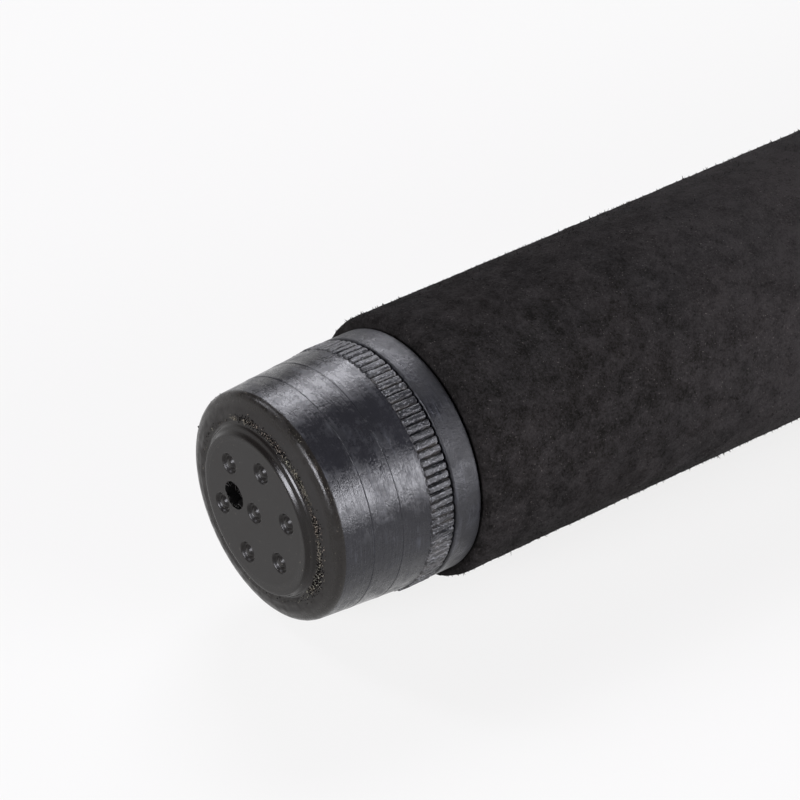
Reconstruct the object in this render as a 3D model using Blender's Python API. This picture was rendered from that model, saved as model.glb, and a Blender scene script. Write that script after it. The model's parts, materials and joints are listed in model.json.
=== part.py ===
"""A telescopic fishing rod, collapsed and lying on its side, ready to run in Blender.

The rod's axis runs along +X from the butt cap to the tip ring. The guides and the reel
seat's flat face -Y. The grips and the largest guide touch the ground plane z = 0, and
the origin is the centre of the bottom of the whole rod's box.
"""

from math import cos, pi, radians, sin

import bmesh
import bpy
from mathutils import Matrix, Vector

mm = 0.001

# Clearances
GAP = 0.3 * mm              # between pieces that touch, press or are glued
THREAD_GAP = 0.3 * mm       # from a thread's crest to the bore round it
OUTLET_GAP = 0.25 * mm      # from a drawn-out section to the mouth it comes out of
MERGE = 0.001 * mm
CUTTER_MARGIN = 2.0 * mm    # how far a cutter reaches past what it cuts

# Butt cap: a screwed rubber cap with a raised round boss in its face
CAP_END = 15.75 * mm        # its open end, from the boss's flat top at x = 0
BOSS_RADIUS = 8.8 * mm
BOSS_FOOT_RADIUS = 10.03 * mm
BOSS_HEIGHT = 0.54 * mm
RIM_RADIUS = 12.9 * mm      # where the face's rounded rim meets the side
RIM_DEPTH = 2.13 * mm
RIM_ROUND = 0.6 * mm
RIM_ARC = (20.0, 86.0)      # degrees that the rounding runs through, from the face to the side
SIDE_RADIUS = 13.65 * mm    # the side widens to this at the knurled band
KNURL_START = 12.94 * mm
KNURL_RADIUS = 13.84 * mm
KNURL_DEPTH = 0.45 * mm
KNURL_RIDGES = 90
KNURL_LIP = 0.15 * mm       # bare edge between the band and the cap's open end
CAP_FLOOR = 3.5 * mm        # rubber over the plug
CAP_CAVITY_RADIUS = 10.6 * mm
DIMPLE_RADIUS = 1.2 * mm
DIMPLE_FOOT_RADIUS = 0.6 * mm
DIMPLE_DEPTH = 0.8 * mm
DIMPLE_CIRCLE = 5.86 * mm
DIMPLE_FIRST_ANGLE = -16.5
VENT_Y, VENT_Z = 3.5 * mm, 0.4 * mm
VENT_RADIUS = 1.4 * mm
PLUG_VENT_RADIUS = 1.0 * mm

# Screwed plug inside the cap, its seal and the foam pad that the sections land on
PLUG_BORE_RADIUS = 5.3 * mm
PLUG_FLOOR = 4.2 * mm
NECK_LENGTH = 2.9 * mm
PLUG_THREAD_LENGTH = 10.9 * mm
PLUG_THREAD_CREST = 7.75 * mm
PLUG_THREAD_DEPTH = 0.5 * mm
PLUG_THREAD_PITCH = 2.0 * mm
SEAL_WIRE_RADIUS = 0.85 * mm
PAD_SPIGOT_LENGTH = 8.0 * mm
PAD_THICKNESS = 3.9 * mm
PAD_RADIUS = 7.4 * mm

# Butt bush: the collar behind the cap, with a threaded sleeve inside the blank
PARTING = 0.45 * mm         # dark gap between the cap and the collar
COLLAR_WIDTH = 3.3 * mm
COLLAR_RADIUS = 13.8 * mm
COLLAR_EDGE = 0.35 * mm
BUSH_SLEEVE_LENGTH = 22.5 * mm

# Handle, from the butt forward
BLANK_BUTT_RADIUS = 10.6 * mm
GRIP_RADIUS = 15.0 * mm     # at the butt end, measured in the photograph
SWELL_RADIUS = 15.45 * mm   # both grips swell to this, and lie on it
GRIP_LENGTH = 150.0 * mm
GRIP_SWELL_AT = 85.0 * mm
GRIP_NOSE_RADIUS = 13.9 * mm
GRIP_EDGE = 0.9 * mm
TRIM_WIDTH = 5.6 * mm
SEAT_LENGTH = 120.0 * mm
SEAT_RADIUS = 12.6 * mm
SEAT_DECK = 11.5 * mm       # from the rod's axis to the flat that the reel foot sits on
SEAT_FLAT = 11.1 * mm       # and to the lower flats under the hoods and along the thread
DECK_MARGIN = 0.6 * mm      # from the fixed hood's mouth and from the thread to the deck
SEAT_SHOULDER_WIDTH = 5.0 * mm
SEAT_SHOULDER_RADIUS = 14.2 * mm
SEAT_THREAD_DEPTH = 0.6 * mm
SEAT_THREAD_PITCH = 2.5 * mm
HOOD_LENGTH = 17.0 * mm
HOOD_WALL = 1.7 * mm
POCKET_DEPTH = 13.0 * mm
POCKET_HALF_WIDTH = 8.1 * mm
POCKET_CENTRE = 9.0 * mm    # from the rod's axis to the middle of the oval pocket
POCKET_HALF_HEIGHT = 8.6 * mm
POCKET_WALL = 1.4 * mm
POCKET_END_SHARE = 0.9      # the pocket's and the bulge's heights at their closed ends
BULGE_END_SHARE = 0.75
BULGE_LIP = 0.2 * mm        # how far a hood's bulge stands out past its ring's mouth
BULGE_MARGIN = 0.8 * mm     # and how far it stops short of the ring's closed end
HOOD_TRAVEL = 30.0 * mm     # from backed off, as modelled, to clamped on a short foot
NUT_WIDTH = 11.0 * mm
NUT_MARGIN = 2.0 * mm       # from the backed-off nut to the seat's end
THREAD_MARGIN = 1.0 * mm    # from the thread's ends to the seat's end and past the nut
NUT_RADIUS = 15.2 * mm
NUT_RIBS = 20
NUT_RIB_DEPTH = 0.5 * mm
FOREGRIP_LENGTH = 70.0 * mm
FOREGRIP_TAIL_RADIUS = 14.0 * mm
FOREGRIP_NOSE_RADIUS = 11.6 * mm
FOREGRIP_SWELL_AT = 24.0 * mm
CHECK_LENGTH = 10.0 * mm
CHECK_WALL = 0.6 * mm
WRAP_LENGTH = 13.5 * mm
WRAP_THICKNESS = 0.45 * mm
BASE_LENGTH = 528.2 * mm    # the handle section's blank, from its butt to its top

# Sections from the handle out: top is the outer radius at the top, overlap is what stays
# inside the section below when drawn out, and collar is the ferrule's length.
# Guide sizes: hole is the ring's inner radius, height is from the rod's axis to its centre.
# The first guide's ring is as large as the grips' swell, so that it lies on the ground too.
INSERT_WALL = 0.2           # a ring's wall, as a share of its hole's radius
FRAME_WALL = 1.2 * mm
FIRST_HOLE = (SWELL_RADIUS - FRAME_WALL - GAP) / (1 + INSERT_WALL)
SECTIONS = [
    dict(
        name="base", top=8.91 * mm, wall=1.15 * mm, overlap=0.0, collar=14.0 * mm,
        hole=FIRST_HOLE, height=27.5 * mm,
    ),
    dict(
        name="section_2", top=6.38 * mm, wall=0.95 * mm, overlap=55.0 * mm, collar=13.0 * mm,
        hole=8.2 * mm, height=22.0 * mm,
    ),
    dict(
        name="section_3", top=4.25 * mm, wall=0.8 * mm, overlap=50.0 * mm, collar=12.0 * mm,
        hole=6.2 * mm, height=17.5 * mm,
    ),
    dict(
        name="section_4", top=2.44 * mm, wall=0.65 * mm, overlap=45.0 * mm, collar=11.0 * mm,
        hole=4.6 * mm, height=13.5 * mm,
    ),
    dict(
        name="tip", top=0.8 * mm, wall=0.0, overlap=40.0 * mm, collar=12.0 * mm,
        hole=3.1 * mm, height=8.0 * mm,
    ),
]
COLLAR_WALL = 1.2 * mm
COLLAR_RIM = 2.5 * mm       # length of the wide rim that lands on the section below
FRAME_WIDTH = 2.8 * mm
INSERT_WIDTH = 3.4 * mm
GUIDE_FORWARD = 0.625 * mm  # from the middle of a collar's length to its ring's centre
LEG_WIDTH = 2.6 * mm
LEG_THICKNESS = 1.3 * mm
LEG_ANGLE = 52.0            # where a side leg meets the ring, from the point nearest the rod
FOOT_ANGLE = 60.0           # where it meets the collar, from the point nearest the ring

# Places along the rod that follow from the lengths above
NECK_END = CAP_END + NECK_LENGTH
PLUG_END = NECK_END + PLUG_THREAD_LENGTH
PAD_END = PLUG_END + GAP + PAD_THICKNESS
COLLAR_START = CAP_END + PARTING
COLLAR_END = COLLAR_START + COLLAR_WIDTH
BASE_START = COLLAR_END + GAP
BASE_END = BASE_START + BASE_LENGTH
GRIP_END = BASE_START + GRIP_LENGTH
REAR_TRIM_START = GRIP_END + GAP
SEAT_START = REAR_TRIM_START + TRIM_WIDTH + GAP
SEAT_END = SEAT_START + SEAT_LENGTH
NUT_START = SEAT_END - NUT_MARGIN - NUT_WIDTH
FORE_TRIM_START = SEAT_END + GAP
FOREGRIP_START = FORE_TRIM_START + TRIM_WIDTH + GAP
FOREGRIP_END = FOREGRIP_START + FOREGRIP_LENGTH
CHECK_START = FOREGRIP_END + GAP
SECTIONS_START = PAD_END + GAP

# Radii that follow
BUSH_BORE = PLUG_THREAD_CREST + THREAD_GAP
HOOD_BORE = SEAT_RADIUS + SEAT_THREAD_DEPTH + THREAD_GAP
SEAL_RADIUS = PLUG_THREAD_CREST + GAP + SEAL_WIRE_RADIUS


def clear_scene():
    for thing in list(bpy.data.objects):
        bpy.data.objects.remove(thing)


def material(name, colour, roughness, metallic=0.0):
    """A plain finish: colour is linear red, green and blue."""
    finish = bpy.data.materials.new(name)
    finish.use_nodes = True
    shader = finish.node_tree.nodes["Principled BSDF"]
    shader.inputs["Base Color"].default_value = (*colour, 1.0)
    shader.inputs["Roughness"].default_value = roughness
    shader.inputs["Metallic"].default_value = metallic
    return finish


def make_finishes():
    return {
        "cap_rubber": material("cap_rubber", (0.045, 0.045, 0.048), 0.5),
        "collar_rubber": material("collar_rubber", (0.055, 0.055, 0.06), 0.55),
        "eva_foam": material("eva_foam", (0.018, 0.017, 0.018), 0.95),
        "pad_foam": material("pad_foam", (0.03, 0.03, 0.03), 0.95),
        "seal_rubber": material("seal_rubber", (0.01, 0.01, 0.01), 0.6),
        "plug_nylon": material("plug_nylon", (0.02, 0.02, 0.021), 0.45),
        "seat_plastic": material("seat_plastic", (0.02, 0.02, 0.022), 0.35),
        "dark_steel": material("dark_steel", (0.09, 0.09, 0.1), 0.3, 1.0),
        "trim_metal": material("trim_metal", (0.16, 0.16, 0.17), 0.28, 1.0),
        "ring_ceramic": material("ring_ceramic", (0.03, 0.03, 0.033), 0.12),
        "blank_lacquer": material("blank_lacquer", (0.016, 0.016, 0.018), 0.15),
        "wrap_thread": material("wrap_thread", (0.05, 0.05, 0.055), 0.2),
    }


def to_object(name, mesh_data, finish, axis):
    """Puts a bmesh in a new object that hangs from the rod's axis."""
    bmesh.ops.recalc_face_normals(mesh_data, faces=mesh_data.faces)
    if mesh_data.calc_volume(signed=True) < 0:
        bmesh.ops.reverse_faces(mesh_data, faces=mesh_data.faces)
    mesh = bpy.data.meshes.new(name)
    mesh_data.to_mesh(mesh)
    mesh_data.free()
    mesh.shade_smooth()
    mesh.set_sharp_from_angle(angle=radians(35))
    if finish:
        mesh.materials.append(finish)
    thing = bpy.data.objects.new(name, mesh)
    bpy.context.scene.collection.objects.link(thing)
    thing.parent = axis
    return thing


def turned(name, outline, finish, axis, steps=40):
    """Spins a closed outline of (x, radius) corners round the rod's axis."""
    shape = bmesh.new()
    corners = [shape.verts.new((x, 0.0, -radius)) for x, radius in outline]
    edges = []
    for this, following in zip(corners, corners[1:] + corners[:1]):
        if this.co.z or following.co.z:
            edges.append(shape.edges.new((this, following)))
    bmesh.ops.spin(
        shape, geom=corners + edges, cent=(0, 0, 0), axis=(1, 0, 0), angle=2 * pi, steps=steps
    )
    bmesh.ops.remove_doubles(shape, verts=shape.verts, dist=MERGE)
    return to_object(name, shape, finish, axis)


def turned_by_column(name, outline_at, finish, axis, columns):
    """Joins one closed outline for each column round the axis, for threads and ribs."""
    shape = bmesh.new()
    rings = []
    for column in range(columns + 1):
        angle = 2 * pi * column / columns
        outline = outline_at(column)
        rings.append(
            [shape.verts.new((x, radius * sin(angle), -radius * cos(angle))) for x, radius in outline]
        )
    for left, right in zip(rings, rings[1:]):
        for row in range(len(left)):
            before = row - 1
            shape.faces.new((left[before], left[row], right[row], right[before]))
    bmesh.ops.remove_doubles(shape, verts=shape.verts, dist=MERGE)
    bmesh.ops.dissolve_degenerate(shape, edges=shape.edges, dist=MERGE)
    return to_object(name, shape, finish, axis)


def thread_rows(column, columns, start, end, root, depth, pitch):
    """The outside of a helical thread along one column: roots and crests by turns."""
    rows = []
    count = 2 * int((end - start) / pitch + 3)
    for row in range(count):
        x = start - pitch + pitch * column / columns + row * pitch / 2
        inside = min(max(x, start), end)
        rise = min(1.0, 2 * (inside - start) / pitch, 2 * (end - inside) / pitch)
        crest = depth * rise if row % 2 else 0.0
        rows.append((inside, root + crest))
    return rows


def as_guide(thing):
    """A cutter or an operand: it shapes other pieces and isn't one itself."""
    thing.hide_render = True
    thing.display_type = "WIRE"
    return thing


def combine(target, other, operation):
    as_guide(other)
    change = target.modifiers.new(f"{operation.lower()}_{other.name}", "BOOLEAN")
    change.operation = operation
    change.object = other
    change.solver = "EXACT"


def rod_cylinder(name, start, end, radius, axis, y=0.0, z=0.0, end_radius=None, steps=16):
    """A cylinder or cone along X, for cutting and for joining."""
    shape = bmesh.new()
    bmesh.ops.create_cone(
        shape,
        cap_ends=True,
        segments=steps,
        radius1=radius,
        radius2=radius if end_radius is None else end_radius,
        depth=end - start,
        matrix=Matrix.Translation(((start + end) / 2, y, z)) @ Matrix.Rotation(pi / 2, 4, "Y"),
    )
    return to_object(name, shape, None, axis)


def oval(name, start, end, half_width, half_height, end_share, axis, steps=28):
    """An oval bar along X on the reel side, its height shrinking to end_share at its end."""
    shape = bmesh.new()
    ends = []
    for x, share in ((start, 1.0), (end, end_share)):
        ring = []
        for step in range(steps):
            angle = 2 * pi * step / steps
            y = -POCKET_CENTRE - half_height * share * cos(angle)
            ring.append(shape.verts.new((x, y, half_width * sin(angle))))
        ends.append(ring)
        shape.faces.new(ring)
    for step in range(steps):
        before = step - 1
        shape.faces.new((ends[0][before], ends[0][step], ends[1][step], ends[1][before]))
    return to_object(name, shape, None, axis)


def strut(name, start, end, axis):
    """A flat bar from one point to another, its width along X."""
    along = end - start
    sideways = Vector((1, 0, 0))
    across = along.cross(sideways).normalized() * LEG_THICKNESS / 2
    sideways = sideways * LEG_WIDTH / 2
    shape = bmesh.new()
    rings = []
    for point in (start, end):
        corners = ((1, 1), (-1, 1), (-1, -1), (1, -1))
        rings.append([shape.verts.new(point + sideways * a + across * b) for a, b in corners])
        shape.faces.new(rings[-1])
    for corner in range(4):
        before = corner - 1
        shape.faces.new((rings[0][before], rings[0][corner], rings[1][corner], rings[1][before]))
    return to_object(name, shape, None, axis)


def slope(start, end, share):
    """Eases from one size to another along a cosine."""
    return start + (end - start) * (1 - cos(pi * share)) / 2


def rounded_edge(x, radius, edge, way):
    """An arc of outline from an end face at x out to the side; way is 1 at a rear end."""
    steps = 2
    points = []
    for step in range(steps + 1):
        angle = pi / 2 * step / steps
        points.append((x + way * edge * (1 - cos(angle)), radius - edge * (1 - sin(angle))))
    return points


def section_sizes():
    """Adds each section's ends and butt radius to its row, working outwards from the handle.

    A drawn-out section fills the mouth that it comes out of, so its butt follows from that
    mouth, from its own top and from the share of its length that stays inside.
    """
    for place, row in enumerate(SECTIONS):
        if place == 0:
            row.update(start=BASE_START, end=BASE_END, butt=BLANK_BUTT_RADIUS)
            row["collar_start"] = BASE_END - row["collar"]
        else:
            below = SECTIONS[place - 1]
            row["start"] = SECTIONS_START
            row["collar_start"] = below["end"] + GAP
            row["end"] = row["collar_start"] + row["collar"]
            share = row["overlap"] / (row["end"] - row["start"])
            outlet = below["top"] - below["wall"] - OUTLET_GAP
            row["butt"] = (outlet - row["top"] * share) / (1 - share)


def section_radius(row, x):
    """A blank's outer radius at x."""
    share = (x - row["start"]) / (row["end"] - row["start"])
    return row["butt"] + (row["top"] - row["butt"]) * share


def seated_bore(x):
    """The bore of a piece glued on the handle blank."""
    return section_radius(SECTIONS[0], x) + GAP


def make_butt_cap(finishes, axis):
    rim_centre = RIM_RADIUS - RIM_ROUND
    under_knurl = KNURL_RADIUS - 2 * KNURL_DEPTH
    outline = [(0.0, 0.0), (0.0, BOSS_RADIUS), (BOSS_HEIGHT / 2, BOSS_RADIUS + BOSS_HEIGHT)]
    outline.append((BOSS_HEIGHT, BOSS_FOOT_RADIUS))
    steps = 3
    for step in range(steps + 1):
        angle = radians(RIM_ARC[0] + (RIM_ARC[1] - RIM_ARC[0]) * step / steps)
        reach = RIM_ROUND * sin(angle)
        outline.append((RIM_DEPTH - RIM_ROUND * cos(angle), rim_centre + reach))
    outline += [
        (KNURL_START, SIDE_RADIUS),
        (KNURL_START, under_knurl),
        (CAP_END, under_knurl),
        (CAP_END, CAP_CAVITY_RADIUS),
        (CAP_FLOOR, CAP_CAVITY_RADIUS),
        (CAP_FLOOR, 0.0),
    ]
    cap = turned("butt_cap", outline, finishes["cap_rubber"], axis, steps=40)

    def knurl_at(column):
        crest = KNURL_RADIUS - (0.0 if column % 2 else KNURL_DEPTH)
        buried = (under_knurl + CAP_CAVITY_RADIUS) / 2
        back = KNURL_START - KNURL_LIP
        front = CAP_END - KNURL_LIP
        return [(back, buried), (back, crest), (front, crest), (front, buried)]

    band = turned_by_column("knurl_band", knurl_at, None, axis, 2 * KNURL_RIDGES)
    band.rotation_euler.x = pi / KNURL_RIDGES / 4  # keeps its corners off the cap's own
    combine(cap, band, "UNION")
    places = [(0.0, 0.0)]
    for place in range(6):
        angle = radians(DIMPLE_FIRST_ANGLE + 60 * place)
        places.append((DIMPLE_CIRCLE * cos(angle), DIMPLE_CIRCLE * sin(angle)))
    slant = (DIMPLE_RADIUS - DIMPLE_FOOT_RADIUS) / DIMPLE_DEPTH
    for number, (y, z) in enumerate(places):
        cutter = rod_cylinder(
            f"dimple_cutter_{number}", -DIMPLE_DEPTH, DIMPLE_DEPTH,
            DIMPLE_RADIUS + slant * DIMPLE_DEPTH, axis, y, z, DIMPLE_FOOT_RADIUS, steps=10,
        )
        combine(cap, cutter, "DIFFERENCE")
    vent = rod_cylinder(
        "vent_cutter", -CAP_FLOOR, 2 * CAP_FLOOR, VENT_RADIUS, axis, VENT_Y, VENT_Z, steps=10
    )
    combine(cap, vent, "DIFFERENCE")
    return cap


def make_cap_plug(finishes, axis):
    columns = 24
    disc_radius = CAP_CAVITY_RADIUS - GAP
    back = CAP_FLOOR + GAP
    root = PLUG_THREAD_CREST - PLUG_THREAD_DEPTH

    def outline_at(column):
        head = [
            (back + PLUG_FLOOR, PLUG_BORE_RADIUS),
            (back + PLUG_FLOOR, 0.0),
            (back, 0.0),
            (back, disc_radius),
            (CAP_END, disc_radius),
            (CAP_END, PLUG_THREAD_CREST),
            (NECK_END, PLUG_THREAD_CREST),
        ]
        rows = thread_rows(
            column, columns, NECK_END, PLUG_END, root, PLUG_THREAD_DEPTH, PLUG_THREAD_PITCH
        )
        return head + rows + [(PLUG_END, PLUG_BORE_RADIUS)]

    plug = turned_by_column("cap_plug", outline_at, finishes["plug_nylon"], axis, columns)
    vent = rod_cylinder(
        "plug_vent_cutter", 0.0, back + 2 * PLUG_FLOOR, PLUG_VENT_RADIUS, axis, VENT_Y, VENT_Z,
        steps=10,
    )
    combine(plug, vent, "DIFFERENCE")
    return plug


def make_cap_seal(finishes, axis):
    """A rubber O-ring round the plug's neck."""
    centre = CAP_END + GAP + SEAL_WIRE_RADIUS
    sides = 6
    outline = []
    for side in range(sides):
        angle = 2 * pi * side / sides
        x = centre + SEAL_WIRE_RADIUS * cos(angle)
        outline.append((x, SEAL_RADIUS + SEAL_WIRE_RADIUS * sin(angle)))
    return turned("cap_seal", outline, finishes["seal_rubber"], axis, steps=24)


def make_silencer_pad(finishes, axis):
    """A foam stop: its spigot is in the plug, and the sections land on its head."""
    spigot = PLUG_BORE_RADIUS - GAP
    head = PLUG_END + GAP
    outline = [
        (head - PAD_SPIGOT_LENGTH, 0.0),
        (head - PAD_SPIGOT_LENGTH, spigot),
        (head, spigot),
        (head, PAD_RADIUS),
        (PAD_END, PAD_RADIUS),
        (PAD_END, 0.0),
    ]
    return turned("silencer_pad", outline, finishes["pad_foam"], axis, steps=24)


def make_butt_bush(finishes, axis):
    base = SECTIONS[0]
    wall = base["wall"] + GAP
    recess = SEAL_RADIUS + SEAL_WIRE_RADIUS + GAP
    recess_floor = CAP_END + 2 * GAP + 2 * SEAL_WIRE_RADIUS
    sleeve_end = COLLAR_END + BUSH_SLEEVE_LENGTH
    outline = [
        (COLLAR_START, recess),
        (COLLAR_START, COLLAR_RADIUS - COLLAR_EDGE),
        (COLLAR_START + COLLAR_EDGE, COLLAR_RADIUS),
        (COLLAR_END - COLLAR_EDGE, COLLAR_RADIUS),
        (COLLAR_END, COLLAR_RADIUS - COLLAR_EDGE),
        (COLLAR_END, BLANK_BUTT_RADIUS - wall),
        (sleeve_end, section_radius(base, sleeve_end) - wall),
        (sleeve_end, BUSH_BORE),
        (recess_floor, BUSH_BORE),
        (recess_floor, recess),
    ]
    return turned("butt_bush", outline, finishes["collar_rubber"], axis, steps=32)


def make_grip(name, start, length, tail, swell_at, nose, finishes, axis):
    """A foam sleeve: its edges are rounded and its outside swells between its ends."""
    end = start + length
    edge = GRIP_EDGE
    outline = [(start, seated_bore(start))] + rounded_edge(start, tail, edge, 1)
    steps = 4
    for step in range(1, steps + 1):
        share = step / steps
        outline.append((start + edge + (swell_at - edge) * share, slope(tail, SWELL_RADIUS, share)))
    for step in range(1, steps):
        share = step / steps
        x = start + swell_at + (length - swell_at - edge) * share
        outline.append((x, slope(SWELL_RADIUS, nose, share)))
    outline += rounded_edge(end, nose, edge, -1)[::-1] + [(end, seated_bore(end))]
    return turned(name, outline, finishes["eva_foam"], axis, steps=36)


def make_trim_ring(name, start, tail, nose, finishes, axis):
    """A metal ring between two pieces of the handle, with a raised bead."""
    end = start + TRIM_WIDTH
    edge = GRIP_EDGE
    outline = [
        (start, seated_bore(start)),
        (start, tail - edge),
        (start + edge / 2, tail),
        (start + TRIM_WIDTH / 2, tail),
        (end - edge, nose),
        (end, nose - edge / 2),
        (end, seated_bore(end)),
    ]
    return turned(name, outline, finishes["trim_metal"], axis, steps=32)


def flat_cutter(name, start, end, flat, axis):
    """A block that cuts the reel side down to a flat, from start to end."""
    shape = bmesh.new()
    bmesh.ops.create_cube(shape, size=1.0)
    depth = SEAT_RADIUS
    bmesh.ops.scale(shape, verts=shape.verts, vec=(end - start, depth, 3 * SEAT_RADIUS))
    bmesh.ops.translate(shape, verts=shape.verts, vec=((start + end) / 2, -flat - depth / 2, 0))
    return to_object(name, shape, None, axis)


def make_seat_body(finishes, axis):
    """The reel seat's barrel: a shoulder, a smooth stretch with a deck, a thread and flats."""
    columns = 24
    thread_end = SEAT_END - THREAD_MARGIN
    thread_start = NUT_START - HOOD_TRAVEL - THREAD_MARGIN
    shoulder_end = SEAT_START + SEAT_SHOULDER_WIDTH

    def outline_at(column):
        head = [
            (SEAT_START, seated_bore(SEAT_START)),
            (SEAT_START, SEAT_SHOULDER_RADIUS - GRIP_EDGE),
            (SEAT_START + GRIP_EDGE, SEAT_SHOULDER_RADIUS),
            (shoulder_end, SEAT_SHOULDER_RADIUS),
            (shoulder_end, SEAT_RADIUS),
        ]
        rows = thread_rows(
            column, columns, thread_start, thread_end, SEAT_RADIUS, SEAT_THREAD_DEPTH,
            SEAT_THREAD_PITCH,
        )
        return head + rows + [(SEAT_END, SEAT_RADIUS), (SEAT_END, seated_bore(SEAT_END))]

    seat = turned_by_column("seat_body", outline_at, finishes["seat_plastic"], axis, columns)
    deck_start = shoulder_end + GAP + HOOD_LENGTH + DECK_MARGIN
    deck_end = thread_start - DECK_MARGIN
    seat_end = SEAT_END + CUTTER_MARGIN
    for name, start, end, flat in (
        ("deck_cutter", shoulder_end, seat_end, SEAT_DECK),
        ("fixed_hood_flat_cutter", shoulder_end, deck_start, SEAT_FLAT),
        ("thread_flat_cutter", deck_end, seat_end, SEAT_FLAT),
    ):
        combine(seat, flat_cutter(name, start, end, flat, axis), "DIFFERENCE")
    return seat


def make_hood(name, mouth, closed, bore, finishes, axis):
    """A ring round the seat with a pocket for one end of the reel foot.

    mouth is where the pocket opens and closed is the hood's far end, on either side.
    """
    way = 1 if closed > mouth else -1
    low, high = sorted((mouth, closed))
    outer = bore + HOOD_WALL
    edge = GRIP_EDGE / 2
    outline = [
        (low, 0.0),
        (low, outer - edge),
        (low + edge, outer),
        (high - edge, outer),
        (high, outer - edge),
        (high, 0.0),
    ]
    hood = turned(name, outline, finishes["dark_steel"], axis, steps=36)
    bulge = oval(
        f"{name}_bulge", mouth - way * BULGE_LIP, closed - way * BULGE_MARGIN,
        POCKET_HALF_WIDTH + POCKET_WALL, POCKET_HALF_HEIGHT + POCKET_WALL, BULGE_END_SHARE, axis,
    )
    combine(hood, bulge, "UNION")
    pocket = oval(
        f"{name}_pocket", mouth - way * CUTTER_MARGIN, mouth + way * POCKET_DEPTH,
        POCKET_HALF_WIDTH, POCKET_HALF_HEIGHT, POCKET_END_SHARE, axis,
    )
    hole = rod_cylinder(
        f"{name}_bore", low - CUTTER_MARGIN, high + CUTTER_MARGIN, bore, axis, steps=32
    )
    combine(hole, pocket, "UNION")
    combine(hood, hole, "DIFFERENCE")
    return hood


def make_lock_nut(finishes, axis):
    """A ribbed nut that pushes the moving hood onto the reel foot."""
    start, end = NUT_START, NUT_START + NUT_WIDTH
    edge_radius = (NUT_RADIUS + HOOD_BORE) / 2
    edge = NUT_RADIUS - edge_radius

    def outline_at(column):
        rib = NUT_RADIUS - (0.0 if column % 2 else NUT_RIB_DEPTH)
        return [
            (start, HOOD_BORE),
            (start, edge_radius),
            (start + edge, rib),
            (end - edge, rib),
            (end, edge_radius),
            (end, HOOD_BORE),
        ]

    return turned_by_column("lock_nut", outline_at, finishes["seat_plastic"], axis, 2 * NUT_RIBS)


def make_winding_check(finishes, axis):
    end = CHECK_START + CHECK_LENGTH
    outline = [
        (CHECK_START, seated_bore(CHECK_START)),
        (CHECK_START, FOREGRIP_NOSE_RADIUS),
        (CHECK_START + CHECK_LENGTH / 4, FOREGRIP_NOSE_RADIUS),
        (end, seated_bore(end) + CHECK_WALL),
        (end, seated_bore(end)),
    ]
    return turned("winding_check", outline, finishes["trim_metal"], axis, steps=28)


def make_base_wrap(finishes, axis):
    """Lacquered whipping thread behind the first guide's collar."""
    end = SECTIONS[0]["collar_start"] - GAP
    start = end - WRAP_LENGTH
    edge = WRAP_THICKNESS
    outline = [
        (start, seated_bore(start)),
        (start, seated_bore(start) + edge / 3),
        (start + edge, seated_bore(start) + WRAP_THICKNESS),
        (end - edge, seated_bore(end) + WRAP_THICKNESS),
        (end, seated_bore(end) + edge / 3),
        (end, seated_bore(end)),
    ]
    return turned("base_wrap", outline, finishes["wrap_thread"], axis, steps=24)


def make_blank(row, finishes, axis):
    """One tapered section: a tube, or a solid rod where its wall is 0."""
    name = "tip_blank" if row["name"] == "tip" else f"{row['name']}_blank"
    start, end = row["start"], row["end"]
    butt, top, wall = row["butt"], row["top"], row["wall"]
    if wall:
        outline = [(start, butt - wall), (start, butt), (end, top), (end, top - wall)]
    else:
        outline = [(start, 0.0), (start, butt), (end, top), (end, 0.0)]
    return turned(name, outline, finishes["blank_lacquer"], axis, steps=32 if wall else 12)


def guide_sizes(row):
    """Where a guide's ring stands and its radii, from the hole outwards."""
    insert = row["hole"] * (1 + INSERT_WALL)
    return dict(
        x=row["collar_start"] + row["collar"] / 2 + GUIDE_FORWARD,
        height=row["height"],
        insert=insert,
        seat=insert + GAP,
        outer=insert + GAP + FRAME_WALL,
    )


def make_guide_frame(name, row, rim_radius, finishes, axis):
    """A collar round the blank's top with legs that carry the ring's seat."""
    sizes = guide_sizes(row)
    start, end = row["collar_start"], row["end"]
    bore = section_radius(row, start) + GAP
    outer = bore + COLLAR_WALL
    rim = max(rim_radius, outer)
    outline = [
        (start, 0.0),
        (start, rim),
        (start + COLLAR_RIM, rim),
        (start + 2 * COLLAR_RIM, outer),
        (end, outer - COLLAR_WALL / 4),
        (end, 0.0),
    ]
    frame = turned(name, outline, finishes["dark_steel"], axis, steps=24)
    middle, half = sizes["x"], FRAME_WIDTH / 2
    disc = rod_cylinder(
        f"{name}_disc", middle - half, middle + half, sizes["outer"], axis, -sizes["height"],
        steps=28,
    )
    combine(frame, disc, "UNION")
    ring_wall = sizes["outer"] - FRAME_WALL / 2
    for side, word in ((1, "left"), (-1, "right")):
        angle, foot_angle = radians(LEG_ANGLE), radians(FOOT_ANGLE)
        collar_wall = bore + COLLAR_WALL / 2
        foot = Vector((middle, -collar_wall * cos(foot_angle), side * collar_wall * sin(foot_angle)))
        head = Vector(
            (middle, -sizes["height"] + ring_wall * cos(angle), side * ring_wall * sin(angle))
        )
        combine(frame, strut(f"{name}_leg_{word}", foot, head, axis), "UNION")
    bore_cutter = rod_cylinder(
        f"{name}_bore", start - CUTTER_MARGIN, end + CUTTER_MARGIN, bore, axis, steps=24
    )
    combine(frame, bore_cutter, "DIFFERENCE")
    seat_cutter = rod_cylinder(
        f"{name}_seat", middle - 2 * half, middle + 2 * half, sizes["seat"], axis,
        -sizes["height"], steps=28,
    )
    combine(frame, seat_cutter, "DIFFERENCE")
    return frame


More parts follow.
